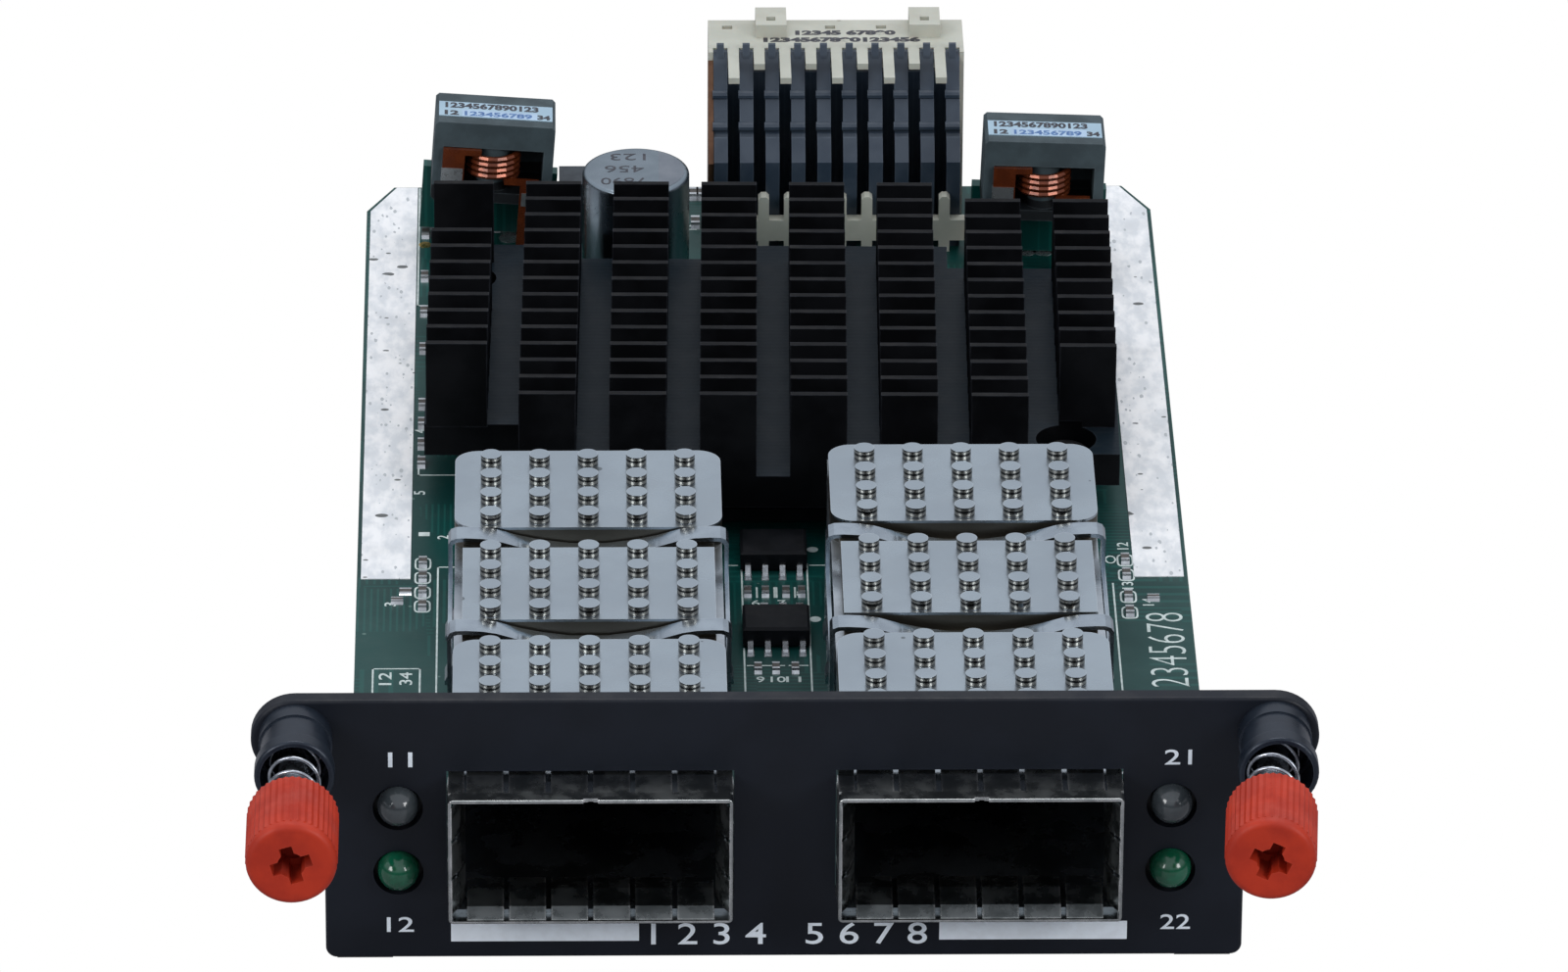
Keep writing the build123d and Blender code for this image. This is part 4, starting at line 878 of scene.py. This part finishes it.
for x, y, wide, deep, high in rows:
    inner = deep / 2 - END_SHARE * deep
    bodies.append((x - 0.46 * wide, x + 0.46 * wide, y - inner - SEAM, y + inner + SEAM, 0.0, 0.94 * high))
    for hand in (-1, 1):
        near, edge, foot = (y + hand * reach for reach in (inner, deep / 2, deep / 2 + FILLET))
        profile = [(near, 0.0), (foot, 0.0), (edge, 0.6 * high), (edge - hand * LIP, high), (near, high)]
        caps.append(prism(profile[::hand], x - wide / 2, x + wide / 2))
piece = mesh_piece("small_part_bodies", *boxes(bodies), MATERIALS["ceramic"], "ceramic")
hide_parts("passives")
mesh_piece("small_part_ends", *joined(*caps), MATERIALS["solder"], "tin")

# %% [markdown]
# ## Pads and vias
# Bare metal on the board is tinned or gold: pads at the chips' leads, round pads, and plated holes
# in even grids. They are flat discs and boxes, because their height is only a few hundredths of a
# millimetre.

# %% Pads and vias
CHIP_X, LEAD_PITCH, PAD_HALF, PAD_T = 0.1, 1.27, 0.27, 0.05
SPOT_T, VIA_T = 0.03, 0.02


def grid(x, y, across, along, columns, count):
    """Places in rows from (x, y), with the column counting fastest."""
    return [(x + across * (n % columns), y + along * (n // columns)) for n in range(count)]


leads = [CHIP_X + (i - 1.5) * LEAD_PITCH for i in range(4)]
pads = [(x - PAD_HALF, x + PAD_HALF, y + near, y + far, 0.0, PAD_T)
        for y in CHIP_ROWS for x in leads for near, far in ((-3.4, -2.35), (2.35, 3.4))]
mesh_piece("chip_pads", *boxes(pads), MATERIALS["solder"], "tin")
spots = [(-19.46, 103.5), (21.99, 101.05), (20.6, 101.05), (-24.3, 110.9)]
mesh_piece("round_pads", *discs(spots, 0.85, 0.0, SPOT_T, 20), MATERIALS["solder"], "tin")
spots = [(-26.0, 102.36), (27.6, 19.0), (-27.6, 19.0)]
mesh_piece("gold_spot", *discs(spots, 0.5, 0.0, SPOT_T, 20), MATERIALS["gold"], "copper")
vias = grid(-28.8, 12.0, 0.9, 1.15, 5, 30) + grid(24.6, 14.0, 0.9, 1.15, 5, 30)
vias += grid(-1.9, 24.0, 0.76, 0.9, 6, 24) + grid(-24.6, 93.4, 1.1, 0.9, 4, 12)
mesh_piece("vias", *discs(vias, 0.2, 0.0, VIA_T, 10), MATERIALS["solder"], "tin")

# %% [markdown]
# ## Solder under the board
# Pins that pass through the board end in solder beads below it. Spheres would be half hidden in
# the board, so each bead is only the lower half of one, flattened and closed by its flat top.

# %% Solder under the board
UNDERSIDE, PORT_X = -1.6, 13.6
CHOKE_FEET = ((-21.3, 101.4, 4.0), (21.35, 98.0, 2.0))
beads = [(s * PORT_X + h * 9.5, y) for s in (-1, 1) for h in (-1, 1) for y in (4.0, 16.0, 34.5, 45.0)]
beads += [(x + dx, y + dy) for x, y, lean in CHOKE_FEET for dx in (-3.0, 3.0) for dy in (-2.6, 3.2)]
pins = [(s * PORT_X - 6.8 + 0.8 * i, y) for s in (-1, 1) for i in range(18) for y in (38.0, 44.0)]
mesh_piece("under_beads", *hanging_beads(beads, 0.6, 0.45, UNDERSIDE), MATERIALS["solder"], "tin",
           smooth=True)
mesh_piece("under_pins", *hanging_beads(pins, 0.24, 0.2, UNDERSIDE, 2, 8), MATERIALS["solder"], "tin",
           smooth=True)

# %% [markdown]
# ## Port contacts
# Inside each port two rows of gold contacts lie above and below the middle. They could be drawn as
# stripes on the connector, but they catch the light from the opening, so each is a thin strip.

# %% Port contacts
CONTACT_PITCH, CONTACT_HALF = 0.8, 0.2
middles = [s * PORT_X + CONTACT_PITCH * i for s in (-1, 1) for i in range(-7, 8)]
contacts = [(x - CONTACT_HALF, x + CONTACT_HALF, 34.7, 41.5, z0, z1)
            for x in middles for z0, z1 in ((3.3, 3.38), (4.42, 4.5))]
mesh_piece("port_contacts", *boxes(contacts), MATERIALS["gold"], "copper")

# %% [markdown]
# ## Choke labels and solder
# Both chokes lean a little, and what sits on them leans too. Their pieces could be children of the
# cores, but a finished piece keeps its place in its mesh, so the lean is worked into the points:
# turned about Y, then moved to the choke's foot.

# %% Choke labels and solder
BLACK_INK = surface("black_ink", (0.02, 0.02, 0.03), (0.05, 0.05, 0.06), (0.4, 0.5), scale=2500, bump=0.02)
BLUE_INK = surface("blue_ink", (0.05, 0.12, 0.3), (0.1, 0.2, 0.4), (0.4, 0.5), scale=2500, bump=0.02)
STRAP_SOLDER = ((-3.95, -2.3, -2.87, -2.37, 5.9, 8.3), (2.35, 3.5, -2.87, -2.37, 5.4, 6.5))
LABEL_Z, BAND_Z, LABEL_FRONT = 12.06, 12.07, -1.12
LABEL_BAND = ((-2.6, 3.2, -1.3, -0.15, LABEL_Z, BAND_Z),)


def leaned(points, foot):
    """Points on a choke, in millimetres from its foot, to the card's frame."""
    x, y, lean = foot
    turn = np.array(Matrix.Rotation(math.radians(lean), 3, "Y"))
    return to_card(np.asarray(points, float) @ turn.T + (x, y, 0))


def leaned_boxes(sizes, foot):
    """Boxes that lean with a choke."""
    return leaned(box_points(sizes), foot), box_faces(len(sizes))


def lean_place(x, y, z, foot):
    """A place for print on top of a leaning choke."""
    spot = Vector(leaned([(x, y, z)], foot)[0])
    return Matrix.Translation(spot) @ Matrix.Rotation(math.radians(foot[2]), 4, "Y")


label_rows, label_blue = [], []
for foot in CHOKE_FEET:
    label_rows += [("1234567890123", lean_place(-0.3, 0.15, LABEL_Z, foot), 0.85, 7.2),
                   ("12", lean_place(-3.4, LABEL_FRONT, LABEL_Z, foot), 0.72, 1.1),
                   ("34", lean_place(3.7, LABEL_FRONT, LABEL_Z, foot), 0.72, 1.0)]
    label_blue.append(("123456789", lean_place(0.2, LABEL_FRONT, BAND_Z, foot), 0.72, 5.2))
solder = joined(*[leaned_boxes(STRAP_SOLDER, foot) for foot in CHOKE_FEET])
mesh_piece("choke_solder", *solder, MATERIALS["solder"], "tin")
bands = joined(*[leaned_boxes(LABEL_BAND, foot) for foot in CHOKE_FEET])
mesh_piece("label_bands", *bands, surface("label_band", (0.42, 0.56, 0.72), bump=0.0))
numerals("label_numerals", label_rows, BLACK_INK, bold=0.05)
numerals("label_serials", label_blue, BLUE_INK, bold=0.03)

# %% [markdown]
# ## Can and connector marks
# The can's top has a dark segment that shows its pole, and print beside it. The segment is the
# outline of an arc closed by its chord. The housing has print on top and three amber pits. On each
# wafer a dark tip stands over the comb, with two bumps in front, which repeat at the wafers' pitch.

# %% Can and connector marks
CAN_AT, CAN_TOP, CAN_ARC = (-9.72, 94.3), 10.35, 3.72
HOUSING_TOP = 14.0
WAFER_X, WAFER_PITCH, WAFERS = 5.93, 2.0, 10
CAN_INK = surface("can_ink", (0.16, 0.18, 0.21), (0.12, 0.14, 0.17), (0.3, 0.4), bump=0.02)
a = np.radians(np.linspace(-62, 62, 20))
segment = slab(np.column_stack([CAN_ARC * np.cos(a), CAN_ARC * np.sin(a)]), CAN_TOP, CAN_TOP + PRINT_T)
mesh_piece("can_mark", *copies(*segment, [CAN_AT]), CAN_INK, "black_plastic")
numerals("can_numerals", [("123", flat(-10.3, 97.2, CAN_TOP, 180), 1.15, 2.7),
                          ("456", flat(-10.6, 95.1, CAN_TOP, 180), 1.15, 3.0),
                          ("7890", flat(-10.7, 93.0, CAN_TOP, 180), 1.15, 3.4)],
         BLACK_INK, "black_plastic", bold=0.0)
numerals("housing_numerals", [("12345 67890", flat(6.7, 110.75, HOUSING_TOP), 0.7, 7.8),
                              ("1234567890123456", flat(6.4, 109.5, HOUSING_TOP), 0.7, 12.2)],
         BLACK_INK, "black_plastic", bold=0.06)
tips, bumps = [], []
for x in WAFER_X + (np.arange(WAFERS) - (WAFERS - 1) / 2) * WAFER_PITCH:
    tips.append(prism([(107.35, 13.2), (108.25, 13.2), (108.25, 14.5), (107.95, 14.5)], x - 0.28, x + 0.28))
    for y, z in ((105.6, 11.3), (103.9, 9.4)):
        bump = np.column_stack([y + 0.4 * np.sin(around(10)), z + 0.36 * np.cos(around(10))])
        bumps.append(prism(bump[::-1], x - 0.62, x + 0.5))
mesh_piece("wafer_tips", *joined(*tips), MATERIALS["wafer"], "wafer_plastic")
mesh_piece("wafer_bumps", *joined(*bumps), MATERIALS["wafer"], "wafer_plastic")
pits = [(x - 0.35, x + 0.35, 111.82, 112.38, 13.35, 13.4) for x in (-2.48, 5.53, 9.5)]
AMBER = surface("pit_amber", (0.35, 0.24, 0.08), bump=0.0)
mesh_piece("housing_pits", *boxes(pits), AMBER, "ivory_plastic")

# %% [markdown]
# ## Screw threads
# A screw's tip carries a few turns of thread. A bump map would leave its outline smooth, and a
# screw modifier would need its place applied, so the ridge is a formula: at turn angle a, its foot
# is (R cos a, y0 + P a / 2 pi, R sin a), with two feet side by side and a crest between them
# that fades at both ends. The right screw leans, so `on_screw()` turns points about its pivot.

# %% Screw threads
SCREW_X, SCREW_Z, PIVOT_Y = 34.1, 12.75, PANEL_T / 2
SCREWS = (("left", -1, 0.0), ("right", 1, 3.8))
THREAD_R, CREST_R, THREAD_PITCH, THREAD_TURNS, THREAD_START = 1.5, 1.6, 0.45, 1.7, 1.45
FOOT_HALF, FADE_STEPS = 0.17, 5


def on_screw(points, sign, lean):
    """Points round a screw's axis, in millimetres from the panel's front, to the card's frame."""
    turn = np.array(Matrix.Rotation(-math.radians(lean), 3, "Z"))
    turned = (np.asarray(points, float) - (0, PIVOT_Y, 0)) @ turn.T
    return to_card(turned + (sign * SCREW_X, PIVOT_Y, SCREW_Z))


def thread(side, sign, lean, steps=20):
    """One ridge: three points at each turn angle a, at radius R, crest radius and R again."""
    count = round(THREAD_TURNS * steps)
    n = np.arange(count + 1)
    a = 2 * np.pi * n / steps
    fade = np.minimum(1.0, np.minimum(n, count - n) / FADE_STEPS)
    foot = np.full(count + 1, THREAD_R - 0.03)
    crest = THREAD_R - 0.02 + (CREST_R - THREAD_R + 0.02) * fade
    r = np.stack([foot, crest, foot], axis=1)
    y = (THREAD_START + THREAD_PITCH * n / steps)[:, None] + (-FOOT_HALF, 0.0, FOOT_HALF)
    points = np.stack([r * np.cos(a)[:, None], y, r * np.sin(a)[:, None]], axis=-1).reshape(-1, 3)
    faces = quads(count + 1, 3) + [[2, 1, 0], [3 * count, 3 * count + 1, 3 * count + 2]]
    mesh_piece(side + "_thread", on_screw(points, sign, lean), faces, MATERIALS["screw_steel"], "screw_steel",
               side + "_screw_body", smooth=True)


for side, sign, lean in SCREWS:
    thread(side, sign, lean)

# %% [markdown]
# ## Thumbscrew springs
# A coil stands between each knob and its sleeve. The real one closes up as the screw is pressed;
# this one keeps its length. The wire's centre at turn angle a is (R cos a, y0 + H a / 2 pi T, R sin a),
# with H the height and T the turns, and the ring round it lies in the plane of the radius and the
# normal to the wire.

# %% Thumbscrew springs
COIL_R, WIRE_R, COIL_TURNS = 1.75, 0.15, 4.5
COIL_FRONT, COIL_REAR, PRESS = -10.78, -1.52, 5.0


def coil_spring(side, sign, lean, steps=32, sides=10):
    """A round wire carried along a helix round the screw's axis."""
    count = round(COIL_TURNS * steps)
    rise = COIL_REAR - COIL_FRONT - 2 * WIRE_R
    n = np.arange(count + 1)
    a, flat_way = 2 * np.pi * n / steps, np.zeros(count + 1)
    out = np.column_stack([np.cos(a), flat_way, np.sin(a)])
    climb = flat_way + rise / (2 * np.pi * COIL_TURNS * COIL_R)
    along = np.column_stack([-np.sin(a), climb, np.cos(a)])
    along /= np.linalg.norm(along, axis=1)[:, None]
    across = np.cross(along, out)
    centre = out * COIL_R + np.column_stack([flat_way, COIL_FRONT + WIRE_R + rise * n / count, flat_way])
    b = around(sides)[:, None]
    ring = np.cos(b) * out[:, None] + np.sin(b) * across[:, None]
    points = (centre[:, None] + WIRE_R * ring).reshape(-1, 3)
    ends = [list(range(sides))[::-1], [count * sides + j for j in range(sides)]]
    piece = mesh_piece(side + "_coil", on_screw(points, sign, lean), quads(count + 1, sides) + ends,
                       MATERIALS["spring_steel"], "spring_steel", smooth=True)
    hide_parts(side + "_spring")
    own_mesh(piece)


for side, sign, lean in SCREWS:
    coil_spring(side, sign, lean)

# %% [markdown]
# ## Light and ground
# The card lies on white under soft, even studio light. A white floor would throw too much light
# back at the object, so the floor is a mid grey and hidden from the camera, and only shades the
# underside. What the camera sees behind the card is the world, which is plain white to it and
# a soft sky, darker below, to everything else. Three wide softboxes add the highlights.

# %% Light and ground
SKY = ((0.0, 0.03), (0.16, 0.12), (0.34, 0.62), (0.6, 0.78), (1.0, 0.7))
FLOOR_SHADE, FLOOR_REACH = 0.3, 3
world = bpy.data.worlds.new("studio")
bpy.context.scene.world = world
world.use_nodes = True
tree = world.node_tree
sky = tree.nodes["Background"]
height = axes(tree, put(tree, "ShaderNodeTexCoord").outputs["Generated"])["Z"]
band = put(tree, "ShaderNodeValToRGB", {"Fac": height})
while len(band.color_ramp.elements) < len(SKY):
    band.color_ramp.elements.new(0.5)
for stop, (place, tone) in zip(band.color_ramp.elements, SKY):
    stop.position = place
    stop.color = (0.94 * tone, 0.98 * tone, 1.06 * tone, 1)
tree.links.new(band.outputs["Color"], sky.inputs["Color"])
sky.inputs["Strength"].default_value = 1.0
seen = put(tree, "ShaderNodeLightPath").outputs["Is Camera Ray"]
white = put(tree, "ShaderNodeBackground", {"Color": (1, 1, 1, 1), "Strength": 1.0})
either = put(tree, "ShaderNodeMixShader", {0: seen, 1: sky.outputs[0], 2: white.outputs[0]})
tree.links.new(either.outputs[0], tree.nodes["World Output"].inputs["Surface"])

floor_material = bpy.data.materials.new("pale_floor")
floor_material.use_nodes = True
pale = floor_material.node_tree.nodes["Principled BSDF"]
pale.inputs["Base Color"].default_value = (FLOOR_SHADE, FLOOR_SHADE, 1.05 * FLOOR_SHADE, 1)
pale.inputs["Roughness"].default_value = 0.8
FLOOR_Z = cad_box[0][2] - 0.0001
corners = [(x * FLOOR_REACH, y * FLOOR_REACH, FLOOR_Z) for x, y in ((-1, -1), (1, -1), (1, 1), (-1, 1))]
mesh = bpy.data.meshes.new("floor")
mesh.from_pydata(corners, [], [(0, 1, 2, 3)])
mesh.materials.append(floor_material)
floor = bpy.data.objects.new("floor", mesh)
bpy.context.scene.collection.objects.link(floor)
floor.visible_camera = False


def softbox(name, place, aim, size, power):
    """A wide lamp at a place, turned so that it faces its aim."""
    light = bpy.data.lights.new(name, "AREA")
    light.shape = "RECTANGLE"
    light.size, light.size_y = size
    light.energy = power
    lamp = bpy.data.objects.new(name, light)
    bpy.context.scene.collection.objects.link(lamp)
    lamp.location = place
    lamp.rotation_euler = (Vector(aim) - Vector(place)).to_track_quat("-Z", "Y").to_euler()
    print(name, power, "W")


softbox("top_box", (0.0, 0.25, 0.8), (0, 0.05, 0), (0.5, 0.3), 1.9)
softbox("left_box", (-0.6, -0.5, 0.4), (0, 0.0, 0), (0.3, 0.3), 2.2)
softbox("right_box", (0.6, -0.5, 0.4), (0, 0.0, 0), (0.3, 0.3), 2.2)
bpy.context.scene.view_settings.view_transform = "Standard"
